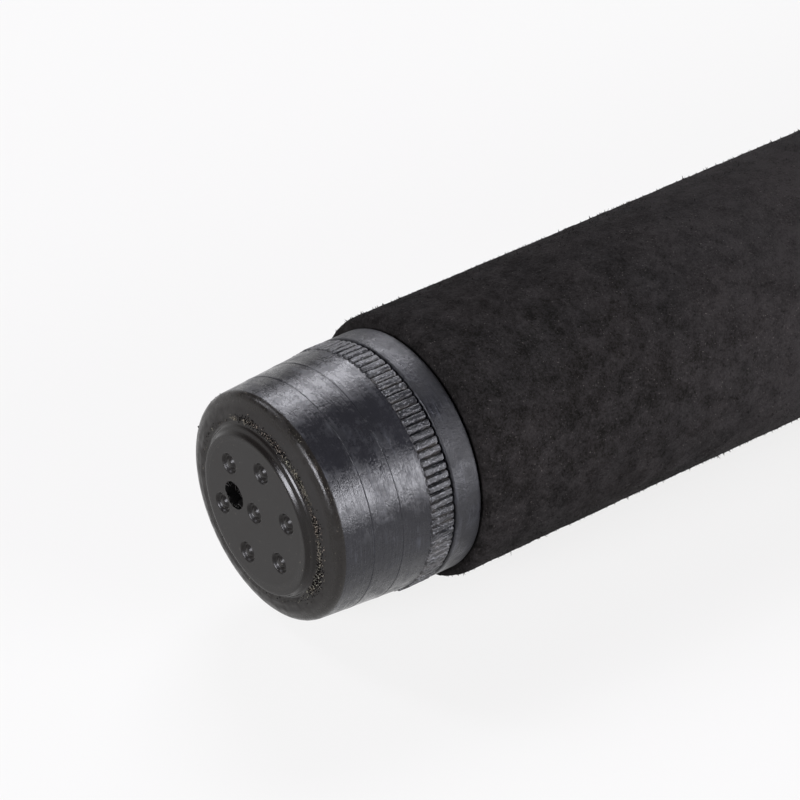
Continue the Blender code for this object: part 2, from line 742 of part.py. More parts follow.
def make_guide_ring(name, row, finishes, axis):
    """The smooth ceramic ring that the line runs through."""
    sizes = guide_sizes(row)
    half = INSERT_WIDTH / 2
    hole, outer = row["hole"], sizes["insert"]
    middle = (hole + outer) / 2
    outline = [
        (-half, outer),
        (-half, middle),
        (-half / 2, hole),
        (half / 2, hole),
        (half, middle),
        (half, outer),
    ]
    ring = turned(name, outline, finishes["ring_ceramic"], axis, steps=28)
    ring.location = (sizes["x"], -sizes["height"], 0.0)
    return ring


def empty(name, parent=None):
    point = bpy.data.objects.new(name, None)
    bpy.context.scene.collection.objects.link(point)
    point.parent = parent
    return point


def make_rod():
    clear_scene()
    section_sizes()
    finishes = make_finishes()
    largest = guide_sizes(SECTIONS[0])
    far_side = -(largest["height"] + largest["outer"])
    axis = empty("rod_axis")
    axis.location = (-SECTIONS[-1]["end"] / 2, -(far_side + SWELL_RADIUS) / 2, SWELL_RADIUS)

    cap_axis = empty("butt_cap_axis", axis)
    make_butt_cap(finishes, cap_axis)
    make_cap_plug(finishes, cap_axis)
    make_cap_seal(finishes, cap_axis)
    make_silencer_pad(finishes, axis)
    make_butt_bush(finishes, axis)

    make_grip(
        "rear_grip", BASE_START, GRIP_LENGTH, GRIP_RADIUS, GRIP_SWELL_AT, GRIP_NOSE_RADIUS,
        finishes, axis,
    )
    make_trim_ring(
        "rear_trim_ring", REAR_TRIM_START, GRIP_NOSE_RADIUS, SEAT_SHOULDER_RADIUS, finishes, axis
    )
    make_seat_body(finishes, axis)
    fixed_closed = SEAT_START + SEAT_SHOULDER_WIDTH + GAP
    fixed_mouth = fixed_closed + HOOD_LENGTH
    make_hood("fixed_hood", fixed_mouth, fixed_closed, SEAT_RADIUS + GAP, finishes, axis)
    hood_closed = NUT_START - GAP
    reel_axis = empty("reel_clamp_axis", axis)
    make_hood("moving_hood", hood_closed - HOOD_LENGTH, hood_closed, HOOD_BORE, finishes, reel_axis)
    make_lock_nut(finishes, reel_axis)
    make_trim_ring(
        "fore_trim_ring", FORE_TRIM_START, FOREGRIP_TAIL_RADIUS, FOREGRIP_TAIL_RADIUS, finishes, axis
    )
    make_grip(
        "foregrip", FOREGRIP_START, FOREGRIP_LENGTH, FOREGRIP_TAIL_RADIUS, FOREGRIP_SWELL_AT,
        FOREGRIP_NOSE_RADIUS, finishes, axis,
    )
    make_winding_check(finishes, axis)
    make_base_wrap(finishes, axis)

    rim_radius = 0.0
    for place, row in enumerate(SECTIONS):
        section_axis = empty(f"{row['name']}_axis", axis)
        make_blank(row, finishes, section_axis)
        name = "tip_top" if row["name"] == "tip" else f"guide_{place + 1}"
        make_guide_frame(f"{name}_frame", row, rim_radius, finishes, section_axis)
        make_guide_ring(f"{name}_ring", row, finishes, section_axis)
        rim_radius = row["top"]


make_rod()
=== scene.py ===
"""A telescopic fishing rod, collapsed and lying on a pale floor, seen from its butt end.

The rod's axis runs along +X, and most pieces are turned round it. Places along the rod are
measured from the flat top of the boss in the butt cap's face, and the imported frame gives
where each piece starts and ends. Sizes are in metres, but for those whose comment says mm.
"""

import json
from functools import partial
from math import copysign, cos, degrees, hypot, pi, radians, sin, sqrt, tan

import bmesh
import bpy
import numpy as np
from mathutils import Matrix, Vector
from mathutils.geometry import delaunay_2d_cdt


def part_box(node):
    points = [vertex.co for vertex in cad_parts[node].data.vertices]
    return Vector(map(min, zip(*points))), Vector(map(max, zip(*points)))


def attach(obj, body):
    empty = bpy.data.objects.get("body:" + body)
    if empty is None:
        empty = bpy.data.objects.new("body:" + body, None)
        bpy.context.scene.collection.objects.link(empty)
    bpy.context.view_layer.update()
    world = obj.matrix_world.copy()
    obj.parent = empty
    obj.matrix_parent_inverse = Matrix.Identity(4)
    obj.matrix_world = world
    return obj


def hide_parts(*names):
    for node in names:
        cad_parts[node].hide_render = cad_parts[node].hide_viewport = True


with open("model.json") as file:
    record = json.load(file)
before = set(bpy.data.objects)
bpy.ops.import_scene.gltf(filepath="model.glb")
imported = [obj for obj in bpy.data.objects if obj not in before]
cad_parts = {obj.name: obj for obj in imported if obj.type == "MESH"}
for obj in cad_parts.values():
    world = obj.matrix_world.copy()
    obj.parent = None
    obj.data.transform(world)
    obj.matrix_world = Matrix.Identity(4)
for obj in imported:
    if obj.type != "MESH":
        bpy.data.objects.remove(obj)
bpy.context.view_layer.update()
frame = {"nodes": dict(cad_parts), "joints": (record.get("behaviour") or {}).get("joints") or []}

mm = 0.001
JOINTS = {joint["name"]: joint for joint in frame["joints"]}
ORIGIN = Vector(JOINTS["cap_turn"]["pos_m"])    # on the rod's axis, at the boss's top

# Camera, as it stood for the photograph: degrees round and above the cap, then how far off
VIEW_AZIMUTH = -38.59
VIEW_ELEVATION = 32.71
VIEW_DISTANCE = 366.03 * mm
VIEW_RIGHT = 15.26 * mm     # its aim, to the right of the boss's top and above it
VIEW_UP = 11.85 * mm
LENS = 157.5                # lens and sensor, in the camera's own millimetres
SENSOR = 36.0

# Light: four softboxes, each with the way to it from the butt cap, how many degrees wide and
# high it looks from there, and how bright it is
SOFTBOX_DISTANCE = 2.2
SOFTBOX_WHITE = "#f6f6fe"
SOFTBOX_WATTS = 4.0         # to a square metre, for a radiance of 1
SOFTBOXES = {
    "softbox_behind": ((0.525, 0.563, 0.638), 27.0, 25.0, 13.5),
    "softbox_side": ((0.525, -0.829, 0.199), 34.0, 27.0, 19.0),
    "softbox_front": ((-0.911, -0.209, 0.358), 25.0, 17.0, 30.0),
    "softbox_far": ((-0.328, 0.658, 0.677), 12.0, 16.0, 16.0),
}
ROOM_WHITE = "#f2f1f1"
FLOOR_RADIUS = 40.0
FLOOR_GLOW = 0.9            # share of the floor's pale colour that a shadow doesn't reach
FLOOR_SHADED = (1.2, (1.7, 0.8))    # how far forward the drawn-out rod's middle is, and half sizes
CEILING = "#545457"
HORIZON = (4.0, 16.0)       # degrees up, over which the pale room gives way to the ceiling

# Butt cap
BOSS_TOP = (                # how far the flat top reaches in mm, at degrees from +Y towards +Z
    (0, 8.6), (20, 8.8), (40, 8.8), (60, 8.6), (90, 8.35), (134, 8.2), (160, 8.35), (180, 8.7),
    (205, 8.95), (225, 9.2), (240, 9.25), (262, 9.15), (280, 8.8), (300, 8.5), (330, 8.4),
)
BOSS_FOOT = (               # and where its edge comes down to the groove
    (0, 9.0), (30, 9.45), (60, 9.75), (90, 9.6), (130, 9.25), (160, 9.6), (180, 9.7),
    (205, 9.75), (225, 9.75), (240, 9.65), (262, 9.55), (280, 9.3), (300, 8.9), (330, 8.8),
)
BOSS_EDGE = (               # from top to foot: depth in mm, and share of the way out
    (0.0, 0.0), (0.012, 0.07), (0.045, 0.14), (0.13, 0.23), (0.22, 0.33), (0.31, 0.43),
    (0.385, 0.52), (0.42, 0.62), (0.455, 0.71), (0.50, 0.80), (0.56, 0.88), (0.65, 0.96),
    (0.71, 1.04), (0.75, 1.16), (0.77, 1.3),
)
BOSS_INSET = 0.25 * mm      # width of the flat ring of faces inside the top's edge
GROOVE_FLOOR = (10.15 * mm, 0.77 * mm)          # radius and depth
GROOVE_END = (10.6 * mm, 0.80 * mm)
RIM_RADIUS = 12.9 * mm
RIM_DEPTH = 2.13 * mm
RIM_CORNER = (1.60 * mm, 12.86 * mm, 1.7 * mm)   # depth, radius and rounding
SIDE_START = 3.0 * mm
SIDE_STEP = 0.35 * mm       # between one row of corners and the next
SIDE_RADIUS = 13.65 * mm
KNURL_START = 12.94 * mm
SIDE_SLOPE = (SIDE_RADIUS - RIM_RADIUS) / (KNURL_START - RIM_DEPTH)
KNURL_RADIUS = 13.84 * mm
KNURL_DEPTH = 0.45 * mm
KNURL_RIDGES = 90
KNURL_FLAT = 0.55           # share of a ridge's width that is its flat top
KNURL_UNEVEN = 0.03 * mm    # how much one ridge stands above or below the next
KNURL_WORN = ((58.0, 20.0), (208.0, 15.0))      # where they are worn down: middle, half width
KNURL_WEAR = 0.7            # share of its depth that a groove loses there
KNURL_WEAR_DEPTH = 0.15 * mm
CAP_CAVITY_RADIUS = 10.6 * mm
CAP_FLOOR = 3.5 * mm
TOOL_LINES = (5.7 * mm, 9.3 * mm)    # small steps that the turning tool left in the cap's side
TOOL_STEP = 0.024 * mm
TOOL_PROFILE = (            # across a tool line: mm along the rod, and share of the step
    (-0.2, 0), (-0.08, -0.2), (-0.02, -1.0), (0.03, 0.8), (0.08, 1.0), (0.2, 0.7),
)
GRIT_PATCHES = (            # grains, then angle and spread in degrees, radius and spread in mm
    (260, 80.0, 6.0, 10.35, 0.26), (620, 107.0, 9.0, 10.05, 0.32), (300, 134.0, 9.0, 10.0, 0.24),
    (340, 161.0, 4.5, 10.15, 0.34), (900, 197.0, 11.0, 10.3, 0.34), (60, 40.0, 20.0, 10.2, 0.12),
    (80, 250.0, 50.0, 10.1, 0.16),
)
GRIT_SIZE = (0.025, 0.07)   # smallest and largest grain's radius, in mm
GRIT_UNEVEN = (0.7, 1.3)    # how far in and out a grain's corners go, as shares of its radius
GRIT_CLEAR = 0.08 * mm      # from the boss's foot
GRIT_SUNK = 0.01 * mm
RIM_SPECKS = 420
RIM_SPECKS_ANGLE = (118, 30)                    # middle and spread, in degrees
RIM_SPECK_SHARE = 0.6       # their size, as a share of the other grains'
RIM_POINTS = (21, 24)       # numbers in face_outline of the rim's middle and end
RIM_POINTS_SPREAD = 1.6
SCRAPS = (                  # flash on the rim: depth and radius in mm, degrees, size in mm
    (1.85, 12.25, 19.5, 0.5), (1.9, 12.7, 27.0, 0.13), (2.05, 12.78, 31.5, 0.1),
    (2.25, 12.86, 37.0, 0.14), (2.4, 12.92, 41.5, 0.1), (2.5, 12.94, 46.0, 0.08),
)
SCRAP_UNEVEN = (0.55, 1.15)
PIT_BAND = 0.03 * mm        # flat ring round each dimple and round the vent
DIMPLE_RADIUS = 1.28 * mm
DIMPLE_DEPTH = 0.37 * mm
DIMPLE_VALLEY = 0.84 * mm
DIMPLE_DOME_TOP = 0.22 * mm
DIMPLE_CIRCLE = 5.86 * mm
DIMPLE_FIRST_ANGLE = -16.5
VENT_PLACE = (3.5 * mm, 0.4 * mm)               # along Y and Z from the axis
VENT_RADIUS = 1.5 * mm
VENT_RAGGED = 0.35 * mm
VENT_TIGHTER = 0.06 * mm    # how much smaller the torn edge is on the whole
VENT_WIDEST = 0.1 * mm      # and how far out of its round it may reach
VENT_WALL = (               # down the vent: depth, and change of radius, in mm
    (0.0, 0.0), (0.05, -0.05), (0.25, -0.12), (0.7, -0.15), (1.2, -0.15), (1.8, -0.15),
    (2.4, -0.15),
)
COLLAR_WIDTH = 3.3 * mm

# Threads
PLUG_THREAD_PITCH = 2.0 * mm
SEAT_THREAD_PITCH = 2.5 * mm
WRAP_PITCH = 0.32 * mm      # whipping thread laid side by side

# Grips and trim rings
GRIP_EDGE = 0.9 * mm
NAP_IN = 0.06 * mm          # how far the foam's skin goes in and out
NAP_OUT = 0.08 * mm
CRUMBS_PER_MM = 110         # of the grip's length
CRUMB_SUNK = 0.04 * mm
CRUMB_WIDTH = (0.05, 0.11)  # narrowest and widest, from its middle, in mm
CRUMB_HEIGHT = (0.12, 0.22)                     # lowest and highest, in mm
CRUMB_LONGER = 0.35         # a few stand higher, by this share in the mean
CRUMB_LEAN = 0.35
TRIM_GROOVE = (             # from a trim ring's end: mm along, depth and rounding
    (1.5, 0.0, 0.0), (1.6, 0.15, 0.05), (1.9, 0.15, 0.05), (2.0, 0.0, 0.05),
)

# Reel seat
SEAT_RADIUS = 12.6 * mm
SEAT_SHOULDER_WIDTH = 5.0 * mm
SEAT_FLAT = 11.1 * mm       # from the axis to the flat that is cut along the barrel
SEAT_DECK = 11.5 * mm       # and to the deck for the reel's foot
SEAT_GAP = 0.6 * mm         # between the deck and what is at its two ends
SEAT_THREAD_DEPTH = 0.6 * mm
NUT_RIBS = 20
NUT_RIB_DEPTH = 0.8 * mm
HOOD_GAP = 0.3 * mm         # between a hood's bore and what it slides or sits on
HOOD_WALL = 1.7 * mm
HOOD_EDGE = 0.45 * mm       # rounding of its ends
HOOD_FILLET = 1.2 * mm      # between the ring and the swelling
HOOD_CLOSING = 1.6 * mm     # over which the swelling goes down to the ring at the back
HOOD_CENTRE = 9.0 * mm      # from the axis to the middle of the pocket's oval
HOOD_OUTSIDE = (9.5 * mm, 10.0 * mm, 0.75)      # oval's half width, half height, share at the back
HOOD_POCKET = (8.1 * mm, 8.6 * mm, 0.9)
POCKET_DEPTH = 13.0 * mm

# Guides
GUIDE_SEAT_WALL = 1.2 * mm
GUIDE_SEAT_HALF = 1.4 * mm  # half its width
LEG_WIDTH = 2.6 * mm
LEG_THICKNESS = 1.3 * mm
LEG_FOOT, LEG_HEAD = radians(60), radians(52)   # round the blank, and round the seat
LEG_BOW = 0.08              # share of its length that a leg bows outwards


def span(node):
    """Where a node starts and ends along the rod, and its outer radius."""
    low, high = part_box(node)
    return low.x - ORIGIN.x, high.x - ORIGIN.x, (high.z - low.z) / 2


# Outlines: lists of (x, radius) points, in metres

def rounded(corners, steps=5):
    """Turns (x, radius, rounding) corners into points, with an arc at each rounded corner."""
    points = []
    for number, (x, radius, rounding) in enumerate(corners):
        here = Vector((x, radius))
        if not rounding:
            points.append((x, radius))
            continue
        before = Vector(corners[number - 1][:2]) - here
        after = Vector(corners[(number + 1) % len(corners)][:2]) - here
        half = before.angle(after) / 2
        reach = min(rounding / tan(half), 0.49 * before.length, 0.49 * after.length)
        middle = here + (before.normalized() + after.normalized()).normalized() * reach / cos(half)
        first = here + before.normalized() * reach - middle
        last = here + after.normalized() * reach - middle
        turn = first.angle_signed(last)
        for step in range(steps + 1):
            angle = -turn * step / steps
            across = first.x * cos(angle) - first.y * sin(angle)
            along = first.x * sin(angle) + first.y * cos(angle)
            points.append((middle.x + across, middle.y + along))
    return points


def filled_in(points, step):
    """Adds points so that no stretch of a closed outline is longer than step."""
    dense = []
    for (x, radius), (next_x, next_radius) in zip(points, points[1:] + points[:1]):
        count = int(hypot(next_x - x, next_radius - radius) / step) + 1
        for part in range(count):
            share = part / count
            dense.append((x + (next_x - x) * share, radius + (next_radius - radius) * share))
    return dense


def eased(start, end, share):
    """Goes from one size to another along a cosine."""
    return start + (end - start) * (1 - cos(pi * share)) / 2


def turn_of(count):
    """Angles at even steps round a circle."""
    return [2 * pi * step / count for step in range(count)]


# Meshes

def rings_of(outline, columns, change=None):
    """Spins an outline round the rod's axis into rows of points, as an array in metres.

    change takes arrays of x, radius and angle, and gives a new radius for each point.
    The angle is measured from +Y towards +Z.
    """
    x = np.array([point[0] for point in outline])[:, None]
    radius = np.array([point[1] for point in outline])[:, None]
    angle = np.linspace(0, 2 * pi, columns, endpoint=False)[None, :]
    x, radius, angle = np.broadcast_arrays(x, radius, angle)
    if change:
        radius = change(x, radius, angle)
    return np.stack([x, radius * np.cos(angle), radius * np.sin(angle)], axis=-1)


def add_rows(shape, rows, closed=True, finish=0):
    """Adds rows of points to a bmesh as a skin of four-sided faces, round and round."""
    corners = [[shape.verts.new(Vector(point) + ORIGIN) for point in row] for row in rows]
    pairs = list(zip(corners, corners[1:]))
    if closed:
        pairs.append((corners[-1], corners[0]))
    for this, following in pairs:
        for column in range(len(this)):
            left = column - 1
            face = shape.faces.new((this[left], this[column], following[column], following[left]))
            face.material_index = finish
    return corners


def add_disc(shape, row, finish=0):
    """Closes a ring of corners with one flat face."""
    shape.faces.new(row).material_index = finish


def placed(name, data):
    """An object in the scene, made of a mesh, a light or a camera."""
    made = bpy.data.objects.new(name, data)
    bpy.context.scene.collection.objects.link(made)
    return made


def made_piece(name, shape, finishes, body, *nodes, sharp=35.0):
    """Turns a bmesh into a piece that rides on a body and stands for the nodes named.

    finishes names its materials, and edges that turn by more than sharp degrees stay sharp.
    """
    bmesh.ops.remove_doubles(shape, verts=shape.verts, dist=0.0005 * mm)
    bmesh.ops.recalc_face_normals(shape, faces=shape.faces)
    if shape.calc_volume(signed=True) < 0:
        bmesh.ops.reverse_faces(shape, faces=shape.faces)
    mesh = bpy.data.meshes.new(name)
    shape.to_mesh(mesh)
    shape.free()
    mesh.shade_smooth()
    mesh.set_sharp_from_angle(angle=radians(sharp))
    for finish in finishes:
        mesh.materials.append(FINISHES[finish])
    piece = placed(name, mesh)
    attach(piece, body)
    if nodes:
        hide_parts(*nodes)
    return piece


def turned(name, outline, columns, finish, body, *nodes, change=None, sharp=35.0):
    """A piece of one finish, made by spinning a closed outline round the rod's axis."""
    shape = bmesh.new()
    add_rows(shape, rings_of(outline, columns, change))
    return made_piece(name, shape, [finish], body, *nodes, sharp=sharp)


def roughened(rng, rows, columns, sizes):
    """A random relief over a skin: sizes pairs each height with a grain in cells."""
    relief = np.zeros((rows, columns))
    for height, grain in sizes:
        field = rng.standard_normal((rows, columns))
        for axis in (0, 1):
            spread = [np.roll(field, shift, axis) for shift in range(-grain, grain + 1)]
            field = np.sum(spread, axis=0) / sqrt(2 * grain + 1)
        relief += height * field
    return relief


# Materials

def linear(code):
    """An sRGB hex colour as linear red, green, blue and alpha."""
    parts = [int(code[place:place + 2], 16) / 255 for place in (1, 3, 5)]
    curve = [part / 12.92 if part <= 0.04045 else ((part + 0.055) / 1.055) ** 2.4 for part in parts]
    return (*curve, 1.0)


def add_node(tree, kind, inputs=(), **settings):
    """Adds a shader node with its settings, and fills its inputs in order or by name.

    An input is a number, a vector, a hex colour, or the node or output that feeds it. In order,
    a TexNoise takes the place, the scale, the detail and the roughness, and a Mix of colours the
    factor and the two colours.
    """
    node = tree.nodes.new("ShaderNode" + kind)
    for setting, value in settings.items():
        setattr(node, setting, value)
    sockets = [socket for socket in node.inputs if socket.enabled]
    named = {socket.name: socket for socket in reversed(sockets)}
    pairs = inputs.items() if isinstance(inputs, dict) else enumerate(inputs)
    for place, value in pairs:
        socket = named[place] if isinstance(place, str) else sockets[place]
        if isinstance(value, bpy.types.Node):
            value = next(output for output in value.outputs if output.enabled)
        if isinstance(value, bpy.types.NodeSocket):
            tree.links.new(value, socket)
        else:
            socket.default_value = linear(value) if isinstance(value, str) else value
    return node


def made_material(name, finish, *colours):
    """A material whose shader is made by a finish.

    The finish gets the call that adds a node to the material, and the place on a piece,
    measured from the boss's top.
    """
    material = bpy.data.materials.new(name)
    material.use_nodes = True
    material.node_tree.nodes.clear()
    add = partial(add_node, material.node_tree)
    corner = add("TexCoord").outputs["Object"]
    place = add("VectorMath", [corner, ORIGIN], operation="SUBTRACT")
    add("OutputMaterial", [finish(add, place, *colours)])
    return material


def axis_distance(add, place):
    """How far a place on a piece is from the rod's axis."""
    flat = add("VectorMath", [place, (0, 1, 1)], operation="MULTIPLY")
    return add("VectorMath", [flat], operation="LENGTH")


def relief_shader(add, colour, rough, relief, depth, strength, inputs):
    """A surface with a fine relief of a given depth; inputs fills the shader's other inputs."""
    bump = add("Bump", {"Height": relief, "Distance": depth, "Strength": strength})
    return add("BsdfPrincipled", {
        "Base Color": colour, "Roughness": rough, "Normal": bump, **inputs
    })


def moulded_rubber(add, place):
    """The boss's top: moulded rubber, satin, faintly grained, a little cloudy, with stray lint."""
    cloud = add("TexNoise", [place, 1 / (4 * mm), 4])
    grain = add("TexNoise", [place, 1 / (0.2 * mm), 2])
    tone = add("Mix", [cloud, "#0a0807", "#110e0c"], data_type="RGBA")
    lint = add("TexNoise", [place, 1 / (0.25 * mm), 1])
    lint = add("MapRange", [lint, 0.75, 0.8, 0.0, 0.5])
    colour = add("Mix", [lint, tone, "#8b8478"], data_type="RGBA")
    # the edge is rubbed to a shine, the top and its dimples aren't
    radius = axis_distance(add, place)
    rubbed = add("MapRange", [radius, 7.9 * mm, 8.4 * mm, 0.0, -0.14])
    rough = add("MapRange", [cloud, 0.3, 0.7, 0.33, 0.4])
    return relief_shader(
        add, colour, add("Math", [rough, rubbed], operation="ADD"), grain, 0.012 * mm, 0.5,
        {"IOR": 1.52, "Specular IOR Level": 0.23}
    )


def dusty_rubber(add, place):
    """The sloping face round the boss: the same rubber, never wiped, so matt and full of grit;
    where the grit lies thick in the groove, the rubber is painted darker as painted shade.
    """
    radius = axis_distance(add, place)
    upper_side = add("VectorMath", [place, (0, -0.75, 0.66)], operation="DOT_PRODUCT")
    upper_side = add("MapRange", [upper_side.outputs["Value"], -7 * mm, 3 * mm, 0.15, 1.0])
    in_groove = add("MapRange", [radius, GROOVE_END[0] + 0.15 * mm, GROOVE_END[0] - 0.2 * mm])
    cloud = add("TexNoise", [place, 1 / (2.5 * mm), 4])
    patchy = add("MapRange", [cloud, 0.4, 0.6])
    # the grains are about 0.1 mm, drawn a little coarser so that they show
    grains = add("TexNoise", [place, 1 / (0.16 * mm), 2])
    grit_and_groove_shade = add("Math", [in_groove, upper_side], operation="MULTIPLY")
    grit_and_groove_shade = add("Math", [grit_and_groove_shade, patchy], operation="MULTIPLY")
    line = add("MapRange", [grit_and_groove_shade, 0.0, 1.0, 0.74, 0.5])
    speck = add("Math", [grains, line], operation="SUBTRACT")
    speck = add("MapRange", [speck, 0.0, 0.05, 0.0, 0.9])
    # painted shade: the rubber's colour goes darker where the grit lies thick in the groove,
    # standing in for the groove's shadow
    tone_and_groove_shade = add("Mix", [grit_and_groove_shade, "#181614", "#080706"], data_type="RGBA")
    colour = add("Mix", [speck, tone_and_groove_shade, "#5d584c"], data_type="RGBA")
    # the rim is handled more, so it's wiped cleaner
    wiped = add("MapRange", [radius, RIM_RADIUS - 1.5 * mm, RIM_RADIUS - 0.9 * mm, 0.0, -0.3])
    smudge = add("TexNoise", [place, 1 / (1.1 * mm), 4])
    rough = add("MapRange", [smudge, 0.35, 0.65, 0.46, 0.68])
    return relief_shader(
        add, colour, add("Math", [rough, wiped], operation="ADD"), grains, 0.04 * mm, 0.5,
        {"IOR": 1.52, "Specular IOR Level": 0.2}
    )


def torn_rubber(add, place):
    """Rubber inside the vent's torn edge, painted soot black as the shade down the hole, with no
    shine; the scraps of flash on the rim use it too.
    """
    grain = add("TexNoise", [place, 1 / (0.3 * mm), 3])
    colour = add("Mix", [grain, "#040404", "#0d0c0b"], data_type="RGBA")
    return relief_shader(
        add, colour, 0.95, grain, 0.1 * mm, 0.6, {"IOR": 1.5, "Specular IOR Level": 0.05}
    )


def turned_rubber(add, place):
    """The cap's side: rubber turned on a lathe and worn by hand, so it shines in bluish bands
    that are broken by fine scratches round and round, and by duller smudges."""
    round_it = add("VectorMath", [place, (14, 1, 1)], operation="MULTIPLY")
    streaks = add("TexNoise", [round_it, 1 / (5 * mm), 6, 0.72])
    smudges = add("TexNoise", [place, 1 / (2.6 * mm), 6, 0.68])
    cloud = add("TexNoise", [place, 1 / (7 * mm), 3])
    grain = add("TexNoise", [place, 1 / (0.3 * mm), 2])
    tone = add("Mix", [cloud, "#141416", "#1d1d20"], data_type="RGBA")
    worn = add("MapRange", [smudges, 0.5, 0.7])
    scratched = add("MapRange", [streaks, 0.5, 0.75])
    scuff = add("Math", [worn, scratched], operation="MULTIPLY")
    colour = add("Mix", [scuff, tone, "#3a3c42"], data_type="RGBA")
    dull = add("MapRange", [smudges, 0.38, 0.64, 0.08, 0.40])
    rough = add("MapRange", [streaks, 0.4, 0.75, -0.04, 0.14])
    rough = add("Math", [dull, rough], operation="ADD")
    pocked = add("MapRange", [grain, 0.35, 0.7, -0.04, 0.08])
    rough = add("Math", [rough, pocked], operation="ADD")
    relief = add("Math", [smudges, 1.3, streaks], operation="MULTIPLY_ADD")
    relief = add("Math", [grain, 0.3, relief], operation="MULTIPLY_ADD")
    return relief_shader(
        add, colour, rough, relief, 0.08 * mm, 0.8, {"IOR": 1.52, "Specular IOR Level": 0.25}
    )


def knurled_rubber(add, place):
    """The knurled band: rubber rubbed dull, with dust in its grooves and pale scuffed crests."""
    radius = axis_distance(add, place)
    depth = add("MapRange", [radius, KNURL_RADIUS - KNURL_DEPTH, KNURL_RADIUS, 1.0, 0.0])
    cloud = add("TexNoise", [place, 1 / (2 * mm), 4])
    grain = add("TexNoise", [place, 1 / (0.25 * mm), 3, 0.7])
    tone = add("Mix", [cloud, "#0e0e10", "#18181b"], data_type="RGBA")
    crest = add("MapRange", [grain, 0.55, 0.64, 0.0, 0.6])
    colour = add("Mix", [crest, tone, "#7c7d80"], data_type="RGBA")
    caught = add("MapRange", [cloud, 0.45, 0.7, 0.0, 0.35])
    caught = add("Math", [caught, depth], operation="MULTIPLY")
    colour = add("Mix", [caught, colour, "#6e675d"], data_type="RGBA")
    return relief_shader(
        add, colour, add("MapRange", [grain, 0.3, 0.7, 0.3, 0.55]), grain, 0.09 * mm, 0.8,
        {"IOR": 1.52, "Specular IOR Level": 0.26}
    )


def collar_rubber(add, place):
    """The collar: moulded rubber with a pocked skin, rubbed paler and smoother in soft patches."""
    round_it = add("VectorMath", [place, (9, 1, 1)], operation="MULTIPLY")
    rubbed = add("TexNoise", [place, 1 / (4.5 * mm), 5, 0.6])
    scratches = add("TexNoise", [round_it, 1 / (3 * mm), 6, 0.75])
    skin = add("TexNoise", [place, 1 / (0.45 * mm), 4, 0.7])
    tone = add("Mix", [skin, "#0e0e10", "#18181b"], data_type="RGBA")
    patch = add("MapRange", [rubbed, 0.42, 0.62])
    pale = add("MapRange", [scratches, 0.45, 0.7, 0.0, 0.7])
    pale = add("Math", [pale, patch], operation="MULTIPLY")
    colour = add("Mix", [pale, tone, "#3b3c41"], data_type="RGBA")
    rough = add("MapRange", [patch, 0.0, 1.0, 0.55, 0.27])
    pocked = add("MapRange", [skin, 0.35, 0.7, -0.04, 0.1])
    rough = add("Math", [pocked, rough], operation="ADD")
    relief = add("Math", [scratches, 0.7, skin], operation="MULTIPLY_ADD")
    return relief_shader(
        add, colour, rough, relief, 0.1 * mm, 0.8, {"IOR": 1.52, "Specular IOR Level": 0.24}
    )


def sanded_eva(add, place):
    """EVA foam, ground to shape: cut cells give a woolly nap, mottled paler and darker, with a few
    pin-prick flecks where a cell's wall catches the light."""
    # the cells are about 0.15 mm, drawn a little coarser so that they show
    nap = add("TexNoise", [place, 1 / (0.26 * mm), 4, 0.75])
    tufts = add("TexNoise", [place, 1 / (0.7 * mm), 4, 0.7])
    patch = add("TexNoise", [place, 1 / (2.6 * mm), 4, 0.6])
    cloud = add("TexNoise", [place, 1 / (9 * mm), 3, 0.6])
    tone = add("MapRange", [cloud, 0.32, 0.68])
    tone = add("Mix", [tone, "#100f0d", "#191614"], data_type="RGBA")
    shade = add("MapRange", [nap, 0.3, 0.7, 0.05, 0.95])
    mottled = add("MapRange", [tufts, 0.3, 0.7, -0.26, 0.26])
    shade = add("Math", [shade, mottled], operation="ADD")
    mottled = add("MapRange", [patch, 0.32, 0.68, -0.3, 0.3])
    shade = add("Math", [shade, mottled], operation="ADD")
    # the butt's last 50 mm are pressed against clothes, so the foam is darker there
    from_butt = add("VectorMath", [place, (1, 0, 0)], operation="DOT_PRODUCT")
    from_butt = add("MapRange", [from_butt.outputs["Value"], 40 * mm, 75 * mm, -0.12, 0.4])
    shade = add("Math", [shade, from_butt], operation="ADD")
    dark = add("Mix", [0.65, tone, "#050505"], data_type="RGBA")
    pale = add("Mix", [0.6, tone, "#2b2929"], data_type="RGBA")
    colour = add("Mix", [shade, dark, pale], data_type="RGBA")
    fleck = add("TexNoise", [place, 1 / (0.19 * mm), 1])
    fleck = add("MapRange", [fleck, 0.7, 0.78, 0.0, 0.5])
    colour = add("Mix", [fleck, colour, "#57524f"], data_type="RGBA")
    relief = add("Math", [tufts, 0.8, nap], operation="MULTIPLY_ADD")
    return relief_shader(
        add, colour, 0.95, relief, 0.2 * mm, 0.7, {"IOR": 1.45, "Specular IOR Level": 0.04}
    )


def pad_foam(add, place):
    """Closed-cell foam of the stop inside the butt: matt charcoal with round cells."""
    cells = add("TexVoronoi", {"Vector": place, "Scale": 1 / (0.6 * mm)})
    tone = add("Mix", [cells, "#242424", "#464645"], data_type="RGBA")
    return relief_shader(
        add, tone, 0.95, cells, 0.25 * mm, 0.8, {"IOR": 1.45, "Specular IOR Level": 0.2}
    )


def seal_rubber(add, place):
    """A nitrile O-ring: black and slightly greasy."""
    smear = add("TexNoise", [place, 1 / (1.5 * mm), 4])
    tone = add("Mix", [smear, "#0e0e0e", "#1e1e1e"], data_type="RGBA")
    return relief_shader(
        add, tone, add("MapRange", [smear, 0.3, 0.7, 0.25, 0.45]), smear, 0.02 * mm, 0.4,
        {"IOR": 1.52}
    )


